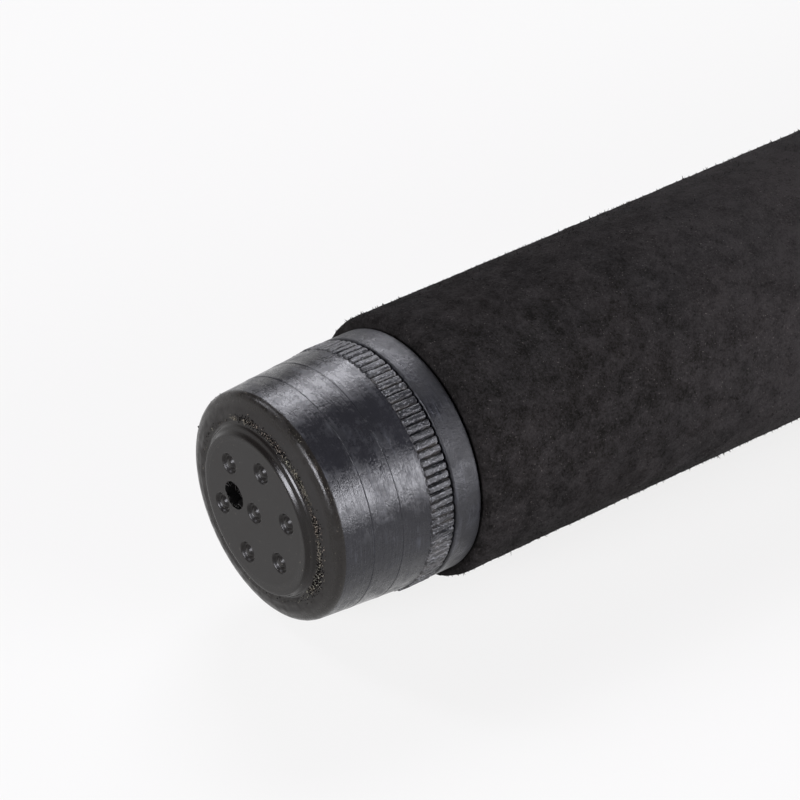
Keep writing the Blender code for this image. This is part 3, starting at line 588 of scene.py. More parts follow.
def filled_nylon(add, place, dark, pale):
    """Glass-filled nylon from a spark-eroded mould: satin, finely grained, with pale fibres."""
    grain = add("TexNoise", [place, 1 / (0.35 * mm), 3])
    cloud = add("TexNoise", [place, 1 / (6 * mm), 4])
    along = add("VectorMath", [place, (0.2, 1, 1)], operation="MULTIPLY")
    fibres = add("TexNoise", [along, 1 / (0.25 * mm), 1])
    fibres = add("MapRange", [fibres, 0.64, 0.74, 0.0, 0.35])
    tone = add("Mix", [cloud, dark, pale], data_type="RGBA")
    colour = add("Mix", [fibres, tone, "#55565a"], data_type="RGBA")
    return relief_shader(
        add, colour, add("MapRange", [grain, 0.3, 0.7, 0.32, 0.48]), grain, 0.04 * mm, 0.6,
        {"IOR": 1.53}
    )


def black_chrome(add, place):
    """Black-chromed steel: dark and bright at once, with faint polishing lines and finger marks."""
    round_it = add("VectorMath", [place, (8, 1, 1)], operation="MULTIPLY")
    lines = add("TexNoise", [round_it, 1 / (2 * mm), 5, 0.65])
    marks = add("TexNoise", [place, 1 / (4 * mm), 4])
    tone = add("Mix", [marks, "#3c3d41", "#4f5056"], data_type="RGBA")
    rough = add("MapRange", [lines, 0.3, 0.7, 0.12, 0.24])
    marked = add("MapRange", [marks, 0.45, 0.7, 0.0, 0.12])
    rough = add("Math", [marked, rough], operation="ADD")
    return relief_shader(add, tone, rough, lines, 0.01 * mm, 0.5, {"Metallic": 1.0})


def brushed_anodising(add, place):
    """Anodised aluminium, brushed on a lathe: a gunmetal sheen drawn out by fine rings."""
    round_it = add("VectorMath", [place, (30, 1, 1)], operation="MULTIPLY")
    rings = add("TexNoise", [round_it, 1 / (3 * mm), 5, 0.75])
    cloud = add("TexNoise", [place, 1 / (5 * mm), 3])
    tone = add("MapRange", [rings, 0.3, 0.7])
    tone = add("Mix", [tone, "#55575c", "#777980"], data_type="RGBA")
    rough = add("MapRange", [rings, 0.3, 0.7, 0.22, 0.38])
    clouded = add("MapRange", [cloud, 0.3, 0.7, -0.03, 0.05])
    rough = add("Math", [clouded, rough], operation="ADD")
    return relief_shader(add, tone, rough, rings, 0.015 * mm, 0.6, {"Metallic": 1.0})


def polished_ceramic(add, place):
    """Guide rings of sintered ceramic, polished: blue-black and glassy, with a few fine pores."""
    cloud = add("TexNoise", [place, 1 / (3 * mm), 3])
    pores = add("TexNoise", [place, 1 / (0.25 * mm), 2])
    tone = add("Mix", [cloud, "#1a1c20", "#2b2e34"], data_type="RGBA")
    return relief_shader(
        add, tone, add("MapRange", [pores, 0.55, 0.75, 0.06, 0.2]), pores, 0.004 * mm, 0.3,
        {"IOR": 2.1}
    )


def lacquered_carbon(add, place):
    """Carbon fibre, wound under tape and lacquered: faint spiral ridges under a clear coat."""
    parts = add("SeparateXYZ", [place]).outputs
    turn = add("Math", [parts["Z"], parts["Y"]], operation="ARCTAN2")
    # the shrink tape was wound 3.2 mm a turn, and its edges stay as low spiral ridges
    spiral = add("Math", [parts["X"], pi / (3.2 * mm)], operation="MULTIPLY")
    spiral = add("Math", [turn, 0.5, spiral], operation="MULTIPLY_ADD")
    spiral = add("Math", [spiral], operation="SINE")
    ridge = add("Math", [spiral], operation="ABSOLUTE")
    ridge = add("Math", [ridge, 0.35], operation="POWER")
    along = add("VectorMath", [place, (0.04, 1, 1)], operation="MULTIPLY")
    fibres = add("TexNoise", [along, 1 / (0.25 * mm), 3, 0.6])
    colour = add("MapRange", [fibres, 0.35, 0.7])
    colour = add("Mix", [colour, "#141518", "#2c2e34"], data_type="RGBA")
    bump = add("Bump", {"Height": ridge, "Distance": 0.03 * mm, "Strength": 0.5})
    return add("BsdfPrincipled", {
        "Base Color": colour, "Roughness": add("MapRange", [fibres, 0.3, 0.7, 0.3, 0.5]),
        "IOR": 1.5, "Coat Weight": 1.0, "Coat Roughness": 0.05, "Normal": bump, "Coat Normal": bump,
    })


def whipping_thread(add, place):
    """Polyester thread wound tight and soaked in lacquer: fine strands under a wavy gloss."""
    strand = add("VectorMath", [place, (1, 0.2, 0.2)], operation="MULTIPLY")
    strands = add("TexNoise", [strand, 1 / (0.12 * mm), 2])
    cloud = add("TexNoise", [place, 1 / (2 * mm), 3])
    tone = add("Mix", [strands, "#20232a", "#434752"], data_type="RGBA")
    return relief_shader(
        add, tone, add("MapRange", [cloud, 0.3, 0.7, 0.34, 0.46]), strands, 0.02 * mm, 0.5,
        {"IOR": 1.5, "Coat Weight": 1.0, "Coat Roughness": 0.04}
    )


def grit(add, place):
    """Loose grit: dull black grains, with olive and tan ones among them."""
    shade = add("TexNoise", [place, 1 / (0.2 * mm), 2])
    tint = add("TexNoise", [place, 1 / (3 * mm), 1])
    tint = add("MapRange", [tint, 0.4, 0.6])
    pale = add("Mix", [tint, "#78766a", "#766c62"], data_type="RGBA")
    shade = add("MapRange", [shade, 0.54, 0.66])
    tone = add("Mix", [shade, "#060505", pale], data_type="RGBA")
    return add("BsdfPrincipled", {
        "Base Color": tone, "Roughness": 0.9, "IOR": 1.5, "Specular IOR Level": 0.04,
    })


FINISHES = {
    finish.__name__: made_material(finish.__name__, finish)
    for finish in (
        moulded_rubber, dusty_rubber, torn_rubber, turned_rubber, knurled_rubber, collar_rubber,
        sanded_eva, pad_foam, seal_rubber, black_chrome, brushed_anodising, polished_ceramic,
        lacquered_carbon, whipping_thread, grit,
    )
}
FINISHES["plug_nylon"] = made_material("plug_nylon", filled_nylon, "#2a2b2d", "#343538")
FINISHES["seat_nylon"] = made_material("seat_nylon", filled_nylon, "#18191b", "#222326")


# Butt cap

def dimple_places():
    """The middle dimple and the six round it, as (y, z) from the rod's axis."""
    places = [(0.0, 0.0)]
    for number in range(6):
        angle = radians(DIMPLE_FIRST_ANGLE + 60 * number)
        places.append((DIMPLE_CIRCLE * cos(angle), DIMPLE_CIRCLE * sin(angle)))
    return places


def dimple_outline():
    """A dimple as (depth, radius): a soft ring-shaped hollow round a broad little dome."""
    outline = [(0.0, DIMPLE_RADIUS + PIT_BAND)]
    steps = 9
    for step in range(steps):
        share = step / steps
        radius = DIMPLE_RADIUS + (DIMPLE_VALLEY - DIMPLE_RADIUS) * share
        outline.append((eased(0, DIMPLE_DEPTH, share), radius))
    for step in range(steps + 1):
        share = step / steps
        radius = DIMPLE_VALLEY + (DIMPLE_DOME_TOP - DIMPLE_VALLEY) * share
        outline.append((eased(DIMPLE_DEPTH, 0, share), radius))
    return outline


def add_patch(shape, outline, place, columns, ragged=None, finish=0):
    """Adds a pit or a dome turned about its own axis, and gives the ring of its rim.

    Its first band lies flat and has the finish of the flat round it.
    """
    rows = []
    for number, (depth, radius) in enumerate(outline):
        row = []
        for angle in turn_of(columns):
            reach = radius + (ragged(number, angle) if ragged else 0.0)
            row.append((depth, place[0] + reach * cos(angle), place[1] + reach * sin(angle)))
        rows.append(row)
    corners = add_rows(shape, rows[:2], closed=False)
    add_disc(shape, add_rows(shape, rows[1:], closed=False, finish=finish)[-1], finish=finish)
    return corners[0]


def add_flat(shape, outer, holes):
    """Fills the flat between an outer ring of corners and the rims of the holes in it."""
    rings = [outer] + holes
    points = [corner.co for ring in rings for corner in ring]
    edges = []
    start = 0
    for ring in rings:
        count = len(ring)
        edges += [(start + step, start + (step + 1) % count) for step in range(count)]
        start += count
    flat = [Vector((point.y, point.z)) for point in points]
    triangles = delaunay_2d_cdt(flat, edges, [], 0, 0.000001 * mm)[2]
    corners = [corner for ring in rings for corner in ring]
    owners = [number for number, ring in enumerate(rings) for _ in ring]
    for triangle in triangles:
        ring_numbers = {owners[corner] for corner in triangle}
        if len(ring_numbers) == 1 and 0 not in ring_numbers:
            continue
        shape.faces.new([corners[corner] for corner in triangle])


def side_radius(x):
    """The cap's side widens evenly from its rim to the knurl."""
    return RIM_RADIUS + (x - RIM_DEPTH) * SIDE_SLOPE


def side_rows():
    """The cap's turned side, from its rim to the knurl, with a small step at each tool line."""
    rows = [
        (x, 0.0) for x in np.arange(SIDE_START, KNURL_START, SIDE_STEP)
        if min(abs(x - line) for line in TOOL_LINES) > 0.25 * mm
    ]
    for line in TOOL_LINES:
        rows += [(line + along * mm, step) for along, step in TOOL_PROFILE]
    return [(x, side_radius(x) + step * TOOL_STEP) for x, step in sorted(rows)]


def around(places, angle):
    """Reads a table of (degrees, mm) at an array of angles, smoothly and round and round."""
    every = np.arange(0, 360)
    sizes = np.interp(every, *zip(*places), period=360)
    sizes = np.mean([np.roll(sizes, shift) for shift in range(-12, 13)], axis=0)
    return np.interp(np.degrees(angle), every, sizes, period=360) * mm


def boss_edge(x, share, angle):
    """Spreads the boss's edge between its top and its foot, which aren't quite round."""
    top = around(BOSS_TOP, angle)
    return top + share * (around(BOSS_FOOT, angle) - top)


def face_outline():
    """The groove's floor, the sloping face and the rounded rim, as (depth, radius)."""
    return rounded([
        (GROOVE_FLOOR[1], GROOVE_FLOOR[0], 0), (GROOVE_END[1], GROOVE_END[0], 0.5 * mm),
        RIM_CORNER, (SIDE_START, side_radius(SIDE_START), 0),
    ], steps=12)[:-1]


def make_butt_cap():
    """The screwed cap: boss with dimples and a torn vent, sloping face, turned side and cavity."""
    columns = 288
    cap_end = span("butt_cap")[1]
    under_knurl = KNURL_RADIUS - 2 * KNURL_DEPTH
    flat = rings_of(
        [(0.0, BOSS_INSET)], columns, lambda x, inset, angle: around(BOSS_TOP, angle) - inset
    )
    edge = rings_of([(depth * mm, share) for depth, share in BOSS_EDGE], columns, boss_edge)
    face = face_outline()
    rim = next(place for place, point in enumerate(face) if point[0] > RIM_DEPTH)
    back = rounded([
        (KNURL_START, SIDE_RADIUS, 0), (KNURL_START, under_knurl, 0),
        (cap_end, under_knurl, 0.1 * mm), (cap_end, CAP_CAVITY_RADIUS, 0.2 * mm),
        (CAP_FLOOR, CAP_CAVITY_RADIUS, 0.4 * mm), (CAP_FLOOR, CAP_CAVITY_RADIUS / 2, 0),
    ])
    shape = bmesh.new()
    boss_rows = add_rows(shape, np.concatenate([flat, edge]), closed=False)
    face_rows = np.concatenate([edge[-1:], rings_of(face[:rim + 1], columns)])
    add_rows(shape, face_rows, closed=False, finish=1)
    add_rows(shape, rings_of(face[rim:] + side_rows() + back[:1], columns), closed=False, finish=2)
    back_rows = add_rows(shape, rings_of(back, columns), closed=False, finish=2)
    add_disc(shape, back_rows[-1], finish=2)
    holes = [add_patch(shape, dimple_outline(), place, 32) for place in dimple_places()]
    rng = np.random.default_rng(11)
    waves = [                   # how many to a turn, where each starts, and how high it is
        (count, rng.uniform(0, 2 * pi), rng.uniform(0.3, 1.0) / count ** 0.45)
        for count in range(2, 22)
    ]

    def torn(number, angle):
        """The vent was punched roughly, so its edge wanders, a little differently at each depth."""
        swings = [size * sin(count * angle + phase + 0.3 * number) for count, phase, size in waves]
        return min(VENT_RAGGED * sum(swings) - VENT_TIGHTER, VENT_WIDEST)

    vent = [(0.0, VENT_RADIUS + PIT_BAND)]
    vent += [(depth * mm, VENT_RADIUS + change * mm) for depth, change in VENT_WALL]
    vent += [(CAP_FLOOR - 0.3 * mm, VENT_RADIUS / 2)]
    # painted shade: the vent's walls get the near-black, shineless rubber that stands for the shade
    # down the hole
    holes.append(add_patch(shape, vent, VENT_PLACE, 64, torn, finish=3))
    add_flat(shape, boss_rows[0], holes)
    surfaces = ["moulded_rubber", "dusty_rubber", "turned_rubber", "torn_rubber"]
    made_piece("butt_cap_shell", shape, surfaces, "butt_cap", "butt_cap")


def make_knurl():
    """The knurled band: flat-topped ridges parted by narrow grooves, uneven and worn in places."""
    columns = KNURL_RIDGES * 10
    rng = np.random.default_rng(5)
    lift = rng.normal(0, KNURL_UNEVEN, KNURL_RIDGES)
    start = KNURL_START - 0.12 * mm
    end = span("butt_cap")[1]
    under = KNURL_RADIUS - 3 * KNURL_DEPTH
    outline = filled_in(rounded([
        (start, under, 0), (start, KNURL_RADIUS, 0.2 * mm), (end, KNURL_RADIUS, 0.1 * mm),
        (end, under, 0),
    ], steps=4), 0.3 * mm)
    rough = roughened(rng, len(outline), columns, [(0.014 * mm, 1), (0.008 * mm, 0)])

    def ridged(x, radius, angle):
        ridge = angle * KNURL_RIDGES / (2 * pi)
        across = 2 * np.abs(ridge % 1 - 0.5)
        groove = np.clip((across - KNURL_FLAT) / (1 - KNURL_FLAT), 0, 1) ** 1.3
        height = np.ones_like(angle)
        for middle, half_width in KNURL_WORN:
            away = (np.degrees(angle) - middle) / half_width
            height = height - KNURL_WEAR * np.exp(-away ** 2)
        drop = KNURL_DEPTH * np.maximum(groove, 0.1 * across ** 2) * height
        uneven = lift[ridge.astype(int) % KNURL_RIDGES] * (1 - groove) + rough
        worn = KNURL_WEAR_DEPTH * (1 - height)
        on_top = np.clip((radius - under) / (KNURL_RADIUS - under), 0, 1) ** 2
        return radius - (drop + worn - uneven) * on_top

    knurl = turned(
        "butt_cap_knurl", outline, columns, "knurled_rubber", "butt_cap", change=ridged, sharp=50
    )


def ball(subdivisions):
    """A ball of radius 1, as its corners and its faces."""
    shape = bmesh.new()
    bmesh.ops.create_icosphere(shape, subdivisions=subdivisions, radius=1)
    shape.verts.index_update()
    corners = [corner.co.copy() for corner in shape.verts]
    faces = [[corner.index for corner in face.verts] for face in shape.faces]
    shape.free()
    return corners, faces


def add_grain(shape, rng, lump, place, size, uneven):
    """A lump at (depth, radius, angle), with each corner pushed in or out at random."""
    depth, radius, angle = place
    middle = ORIGIN + Vector((depth, radius * cos(angle), radius * sin(angle)))
    ways, faces = lump
    corners = [shape.verts.new(way * size * rng.uniform(*uneven) + middle) for way in ways]
    for face in faces:
        shape.faces.new([corners[number] for number in face])


def make_cap_grit():
    """Loose grit lodged in the groove and on the rim, and scraps of moulding flash."""
    rng = np.random.default_rng(23)
    depths, radii = zip(*face_outline())
    points = range(len(radii))
    every = np.arange(360)
    foot = around(BOSS_FOOT, np.radians(every)) + GRIT_CLEAR
    middle_point, end_point = RIM_POINTS
    places = []
    for count, middle, spread, radius, reach in GRIT_PATCHES:
        for grain in range(count):
            angle = radians(rng.normal(middle, spread))
            place = rng.normal(radius, reach) * mm
            if place > np.interp(degrees(angle), every, foot, period=360):
                depth = float(np.interp(place, radii[:end_point], depths[:end_point]))
                places.append((depth - GRIT_SUNK, place, angle))
    for speck in range(RIM_SPECKS):
        along = np.clip(rng.normal(middle_point, RIM_POINTS_SPREAD), 0, end_point)
        angle = radians(rng.normal(*RIM_SPECKS_ANGLE))
        places.append((np.interp(along, points, depths), np.interp(along, points, radii), angle))
    grains, scraps = bmesh.new(), bmesh.new()
    lump = ball(1)
    for place in places:
        size = rng.uniform(*GRIT_SIZE) * mm
        on_rim = place[1] > RIM_CORNER[1] - RIM_CORNER[2] / 2
        add_grain(grains, rng, lump, place, size * (RIM_SPECK_SHARE if on_rim else 1), GRIT_UNEVEN)
    lump = ball(2)
    for depth, radius, angle, size in SCRAPS:
        place = (depth * mm, radius * mm, radians(angle))
        add_grain(scraps, rng, lump, place, size * mm, SCRAP_UNEVEN)
    loose = made_piece("butt_cap_grit", grains, ["grit"], "butt_cap", sharp=20)
    flash = made_piece("butt_cap_flash", scraps, ["torn_rubber"], "butt_cap", sharp=20)


def make_cap_plug():
    """The threaded plug: a disc that fills the cap's cavity, a neck and a screw thread."""
    start, end, disc = span("cap_plug")
    cap_end = span("butt_cap")[1]
    crest = 7.75 * mm
    depth = 0.5 * mm
    bore = 5.3 * mm
    vent = 0.4 * mm
    edge = 0.2 * mm
    chamfer = 0.3 * mm
    floor = start + 4.2 * mm
    neck = cap_end + 2.9 * mm
    rows = [
        (floor, bore), (floor, vent), (start, vent), (start, disc), (cap_end - edge, disc),
        (cap_end, disc - edge), (cap_end, crest + chamfer), (cap_end + chamfer, crest),
        (neck, crest),
    ]
    thread = np.arange(neck + 0.05 * mm, end - chamfer, PLUG_THREAD_PITCH / 12)
    rows += [(x, crest) for x in thread]
    rows += [(end - chamfer, crest - depth), (end, crest - depth - chamfer), (end, bore)]

    def threaded(x, radius, angle):
        return cut_thread(x, radius, angle, neck, end, crest, depth, PLUG_THREAD_PITCH)

    turned("cap_plug_thread", rows, 96, "plug_nylon", "butt_cap", "cap_plug", change=threaded)


def cut_thread(x, radius, angle, start, end, crest, depth, pitch):
    """Lowers a skin at radius crest into a rounded thread between start and end."""
    turn = (x - start) / pitch - angle / (2 * pi)
    wave = 0.5 - 0.5 * np.cos(2 * pi * turn)
    form = np.clip((wave - 0.5) * 1.5 + 0.5, 0, 1)      # steeper, so crest and root are flat
    rise = np.clip(np.minimum((x - start) / pitch, (end - x) / pitch) * 1.5, 0, 1)
    on_thread = (x > start) & (x < end) & (np.abs(radius - crest) < 0.01 * mm)
    return np.where(on_thread, crest - depth + depth * form * rise, radius)


def make_cap_seal():
    """The O-ring round the plug's neck."""
    start, end, outer = span("cap_seal")
    wire = (end - start) / 2
    middle = (start + end) / 2
    outline = [
        (middle + wire * cos(angle), outer - wire + wire * sin(angle)) for angle in turn_of(18)
    ]
    turned("cap_seal_ring", outline, 96, "seal_rubber", "butt_cap", "cap_seal")


def make_silencer_pad():
    """The foam stop that the collapsed sections land on: a head on a thin spigot."""
    start, end, radius = span("silencer_pad")
    spigot = 5.0 * mm
    hole = 0.2 * mm
    head = span("cap_plug")[1] + 0.3 * mm
    outline = filled_in(rounded([
        (start, hole, 0), (start, spigot, 0.4 * mm), (head, spigot, 0.2 * mm),
        (head, radius, 0.5 * mm), (end, radius, 0.7 * mm), (end, hole, 0),
    ]), 0.5 * mm)
    relief = roughened(np.random.default_rng(3), len(outline), 96, [(0.02 * mm, 1)])
    piece = turned(
        "silencer_pad_foam", outline, 96, "pad_foam", "cap_pad", "silencer_pad",
        change=lambda x, radius, angle: np.where(radius > 1 * mm, radius + relief, radius),
    )


def make_butt_bush():
    """The collar behind the cap, with its threaded sleeve glued inside the blank."""
    start, end, radius = span("butt_bush")
    collar_end = start + COLLAR_WIDTH
    face = start - 0.15 * mm
    bore = 8.05 * mm
    recess = 10.05 * mm
    recess_end = start + 1.9 * mm
    outline = rounded([
        (face, recess, 0.1 * mm), (face, radius, 0.25 * mm), (collar_end, radius, 0.3 * mm),
        (collar_end, 9.15 * mm, 0), (end, 9.08 * mm, 0.3 * mm), (end, bore, 0.2 * mm),
        (recess_end, bore, 0.2 * mm), (recess_end, recess, 0),
    ])
    turned("butt_bush_collar", outline, 192, "collar_rubber", "handle", "butt_bush")


# Handle

def grip_outline(start, end, tail, swell_at, swell, nose, bore, step):
    """A foam sleeve's outline: rounded edges and a swell between its ends."""
    points = [(start, bore, 0), (start, tail, GRIP_EDGE)]
    steps = 24
    for place in range(1, steps):
        share = place / steps
        x = start + (end - start) * share
        if x < swell_at:
            radius = eased(tail, swell, (x - start) / (swell_at - start))
        else:
            radius = eased(swell, nose, (x - swell_at) / (end - swell_at))
        points.append((x, radius, 0))
    points += [(end, nose, GRIP_EDGE), (end, bore, 0)]
    return filled_in(rounded(points, steps=6), step)


def make_grip(name, node, tail, swell_at, nose, columns, step, seed):
    """A sanded foam sleeve, with a fine uneven skin and a nap of tiny torn crumbs.

    tail and nose are its radii at the ends, and swell_at is where it is thickest.
    """
    start, end, swell = span(node)
    bore = node_bore(node)
    outline = grip_outline(
        start, end, tail, start + swell_at, swell - 0.05 * mm, nose, bore, step
    )
    rng = np.random.default_rng(seed)
    relief = roughened(rng, len(outline), columns, [(0.016 * mm, 0), (0.016 * mm, 1)])

    def napped(x, radius, angle):
        outside = radius > bore + 0.5 * mm
        return np.where(outside, radius + np.clip(relief, -NAP_IN, NAP_OUT), radius)

    rows = rings_of(outline, columns, napped)
    shape = bmesh.new()
    add_rows(shape, rows)
    skin = rows[np.hypot(rows[..., 1], rows[..., 2]) > bore + 1.5 * mm]
    for place in rng.choice(len(skin), int((end - start) / mm * CRUMBS_PER_MM), replace=False):
        add_crumb(shape, rng, Vector(skin[place]))
    piece = made_piece(name, shape, ["sanded_eva"], "handle", node, sharp=60)


def add_crumb(shape, rng, place):
    """A crumb of foam standing a little out of the skin, as a small closed spike."""
    out = Vector((0, place.y, place.z)).normalized()
    lean = Vector(rng.normal(0, 1, 3))
    side = out.cross(lean).normalized()
    other = out.cross(side)
    width = rng.uniform(*CRUMB_WIDTH) * mm
    height = rng.uniform(*CRUMB_HEIGHT) * (1 + rng.exponential(CRUMB_LONGER)) * mm
    base = place + ORIGIN - out * CRUMB_SUNK
    tip = shape.verts.new(base + (out + lean * CRUMB_LEAN).normalized() * height)
    feet = [
        shape.verts.new(base + (side * cos(angle) + other * sin(angle)) * width)
        for angle in turn_of(3)
    ]
    shape.faces.new(feet)
    for number in range(3):
        shape.faces.new((feet[number - 1], feet[number], tip))


def corners_of(node):
    """Each corner of a node, as its place along the rod and its distance from the axis."""
    return [
        (corner.co.x - ORIGIN.x, hypot(corner.co.y - ORIGIN.y, corner.co.z - ORIGIN.z))
        for corner in frame["nodes"][node].data.vertices
    ]


def node_bore(node):
    """The bore of a node that is glued on the handle blank."""
    return min(reach for _, reach in corners_of(node))


def make_trim_ring(name, node, tail, nose):
    """A brushed metal ring with a fine groove near each end and softened edges."""
    start, end, _ = span(node)
    bore = node_bore(node)
    corners = [(start, bore, 0), (start, tail, 0.5 * mm)]
    for away, depth, soft in TRIM_GROOVE:
        corners.append((start + away * mm, tail - depth * mm, soft * mm))
    for away, depth, soft in reversed(TRIM_GROOVE):
        corners.append((end - away * mm, nose - depth * mm, soft * mm))
    corners += [(end, nose, 0.5 * mm), (end, bore, 0)]
    turned(name, rounded(corners), 160, "brushed_anodising", "handle", node)


def make_seat():
    """The reel seat: shoulder, barrel with a deck for the foot, and a long fine-cut thread."""
    start, end, shoulder = span("seat_body")
    bore = node_bore("seat_body")
    shoulder_end = start + SEAT_SHOULDER_WIDTH
    travel = JOINTS["hood_slide"]["range_m"][1]
    thread_start = span("lock_nut")[0] - travel - 1.0 * mm
    thread_end = end - 1.0 * mm
    crest = SEAT_RADIUS + SEAT_THREAD_DEPTH
    deck_start = span("fixed_hood")[1] + SEAT_GAP
    deck_end = thread_start - SEAT_GAP
    chamfer = 0.3 * mm
    hair = 0.01 * mm            # each end of the deck stands between two rows this close
    rows = rounded([
        (start, bore, 0), (start, shoulder, 0.6 * mm), (shoulder_end, shoulder, 0.4 * mm),
        (shoulder_end, SEAT_RADIUS, 0),
    ])
    for x in (deck_start, deck_end):
        rows += [(x - hair, SEAT_RADIUS), (x + hair, SEAT_RADIUS)]
    rows += [(thread_start, SEAT_RADIUS)]
    thread = np.arange(thread_start + 0.05 * mm, thread_end, SEAT_THREAD_PITCH / 12)
    rows += [(x, crest) for x in thread]
    rows += [
        (thread_end, SEAT_RADIUS), (end - chamfer, SEAT_RADIUS), (end, SEAT_RADIUS - chamfer),
        (end, bore),
    ]

    def threaded(x, radius, angle):
        return cut_thread(
            x, radius, angle, thread_start, thread_end, crest, SEAT_THREAD_DEPTH, SEAT_THREAD_PITCH
        )

    rings = rings_of(rows, 288, threaded)
    x, y = rings[..., 0], rings[..., 1]
    on_deck = (x > deck_start) & (x < deck_end)
    level = np.where(on_deck, -SEAT_DECK, -SEAT_FLAT)
    rings[..., 1] = np.where((x > shoulder_end + hair) & (y < level), level, y)
    shape = bmesh.new()
    add_rows(shape, rings)
    made_piece("reel_seat_barrel", shape, ["seat_nylon"], "handle", "seat_body")


def oval_reach(angle, centre, half_width, half_height):
    """How far an oval's edge is from the rod's axis; the oval stands on the reel side.

    It is the larger root of square * reach ** 2 + line * reach + rest = 0.
    """
    y, z = np.cos(angle), np.sin(angle)
    square = (y / half_height) ** 2 + (z / half_width) ** 2
    line = 2 * y * centre / half_height ** 2
    rest = (centre / half_height) ** 2 - 1
    inside = np.maximum(line ** 2 - 4 * square * rest, 0)
    return (np.sqrt(inside) - line) / (2 * square)


def soft_max(first, second, blend):
    """The larger of two sizes, with a fillet where they are alike."""
    gap = np.clip(0.5 + 0.5 * (first - second) / blend, 0, 1)
    return second + (first - second) * gap + blend * gap * (1 - gap)


def make_hood(name, node, body, way, bore):
    """A pressed hood: a ring that swells on the reel side into a pocket for the reel's foot.

    way is 1 where its mouth looks towards the butt and -1 where it looks towards the tip.
    """
    low, high, _ = span(node)
    mouth, back = (low, high) if way > 0 else (high, low)
    depth = abs(back - mouth)
    columns = 256
    angle = np.linspace(0, 2 * pi, columns, endpoint=False)
    ring = np.full(columns, bore + HOOD_WALL)

    def oval(place, half_width, half_height, back_share):
        """The swelling at one depth from the mouth; it is lower towards the back."""
        share = np.clip(place / depth, 0, 1)
        height = half_height * (1 - (1 - back_share) * share ** 1.6)
        return oval_reach(angle, HOOD_CENTRE, half_width, height)

    def row(place, radius):
        x = np.full(columns, mouth + way * place)
        return np.stack([x, radius * np.cos(angle), radius * np.sin(angle)], -1)

    # finer steps at the mouth and at the back, where the edges are rounded
    places = np.concatenate([
        [0.0, 0.08, 0.2, 0.35, 0.5], np.linspace(0.8, depth / mm - 1.2, 22),
        depth / mm - np.array([0.9, 0.6, 0.4, 0.25, 0.12, 0.0]),
    ]) * mm
    rows = []
    for place in places:
        radius = soft_max(ring, oval(place, *HOOD_OUTSIDE), HOOD_FILLET)
        from_back = depth - place
        for distance in (place, from_back):
            if distance < HOOD_EDGE:
                radius = radius - HOOD_EDGE * (1 - sqrt(1 - (1 - distance / HOOD_EDGE) ** 2))
        closing = max(0.0, 1 - from_back / HOOD_CLOSING) ** 2
        rows.append(row(place, radius + (np.minimum(radius, ring) - radius) * closing))
    for place in (depth, POCKET_DEPTH + 0.01 * mm):
        rows.append(row(place, np.full(columns, bore)))
    for place in (POCKET_DEPTH, 12.7 * mm, 8.0 * mm, 4.0 * mm, 0.5 * mm, 0.0):
        rows.append(row(place, np.maximum(bore, oval(place, *HOOD_POCKET))))
    shape = bmesh.new()
    add_rows(shape, np.array(rows))
    made_piece(name, shape, ["black_chrome"], body, node)


def make_lock_nut():
    """The ribbed nut: rounded ribs between turned shoulders."""
    start, end, radius = span("lock_nut")
    bore = 13.5 * mm
    shoulder = 0.9 * mm
    plain = 1.2 * mm            # at each end, before the ribs rise
    outline = filled_in(rounded([
        (start, bore, 0.2 * mm), (start, radius - shoulder, 0.3 * mm),
        (start + shoulder, radius, 0.5 * mm), (end - shoulder, radius, 0.5 * mm),
        (end, radius - shoulder, 0.3 * mm), (end, bore, 0.2 * mm),
    ]), 0.5 * mm)

    def ribbed(x, reach, angle):
        rib = np.abs(np.cos(angle * NUT_RIBS / 2)) ** 0.7
        rise = np.clip(np.minimum(x - start - plain, end - plain - x) / (0.6 * mm), 0, 1)
        cut = NUT_RIB_DEPTH * (1 - rib) * rise
        return np.where(reach > radius - 0.35 * mm, reach - cut, reach)

    turned(
        "lock_nut_ribs", outline, 360, "seat_nylon", "lock_nut", "lock_nut", change=ribbed,
        sharp=50,
    )


def make_winding_check():
    """The tapered ring in front of the foregrip, with a small groove before its nose."""
    start, end, radius = span("winding_check")
    bore = node_bore("winding_check")
    outline = rounded([
        (start, bore + 0.05 * mm, 0), (start, radius, 0.3 * mm),
        (start + 2.5 * mm, radius, 0.8 * mm), (start + 3.2 * mm, radius - 0.5 * mm, 0.2 * mm),
        (start + 3.6 * mm, radius - 0.35 * mm, 0.2 * mm), (end, bore + 0.6 * mm, 0.25 * mm),
        (end, bore, 0),
    ])
    turned("winding_check_ring", outline, 128, "brushed_anodising", "handle", "winding_check")


def make_base_wrap():
    """Whipping thread laid turn by turn round the blank, under lacquer."""
    start, end, radius = span("base_wrap")
    bore = node_bore("base_wrap")
    edge = 0.8 * mm
    thread = 0.04 * mm          # how far a turn of thread stands out of the hollow beside it
    rows = [(start, bore)]
    count = int((end - start) / (WRAP_PITCH / 6))
    for number in range(count + 1):
        x = start + (end - start) * number / count
        ramp = min(1.0, (x - start) / edge, (end - x) / edge)
        rows.append((x, bore + (radius - bore - thread) * max(ramp, 0.25)))
    rows.append((end, bore))

    def laid(x, reach, angle):
        turn = (x - start) / WRAP_PITCH - angle / (2 * pi)
        lift = thread * np.sqrt(np.abs(np.sin(pi * turn)))
        return np.where(reach > bore + 0.02 * mm, reach + lift, reach)

    turned("base_wrap_thread", rows, 96, "whipping_thread", "handle", "base_wrap", change=laid)


# Blanks and guides

SECTIONS = (
    ("handle", "base_blank", "guide_1_frame", "guide_1_ring"),
    ("section_2", "section_2_blank", "guide_2_frame", "guide_2_ring"),
    ("section_3", "section_3_blank", "guide_3_frame", "guide_3_ring"),
    ("section_4", "section_4_blank", "guide_4_frame", "guide_4_ring"),
    ("tip", "tip_blank", "tip_top_frame", "tip_top_ring"),
)


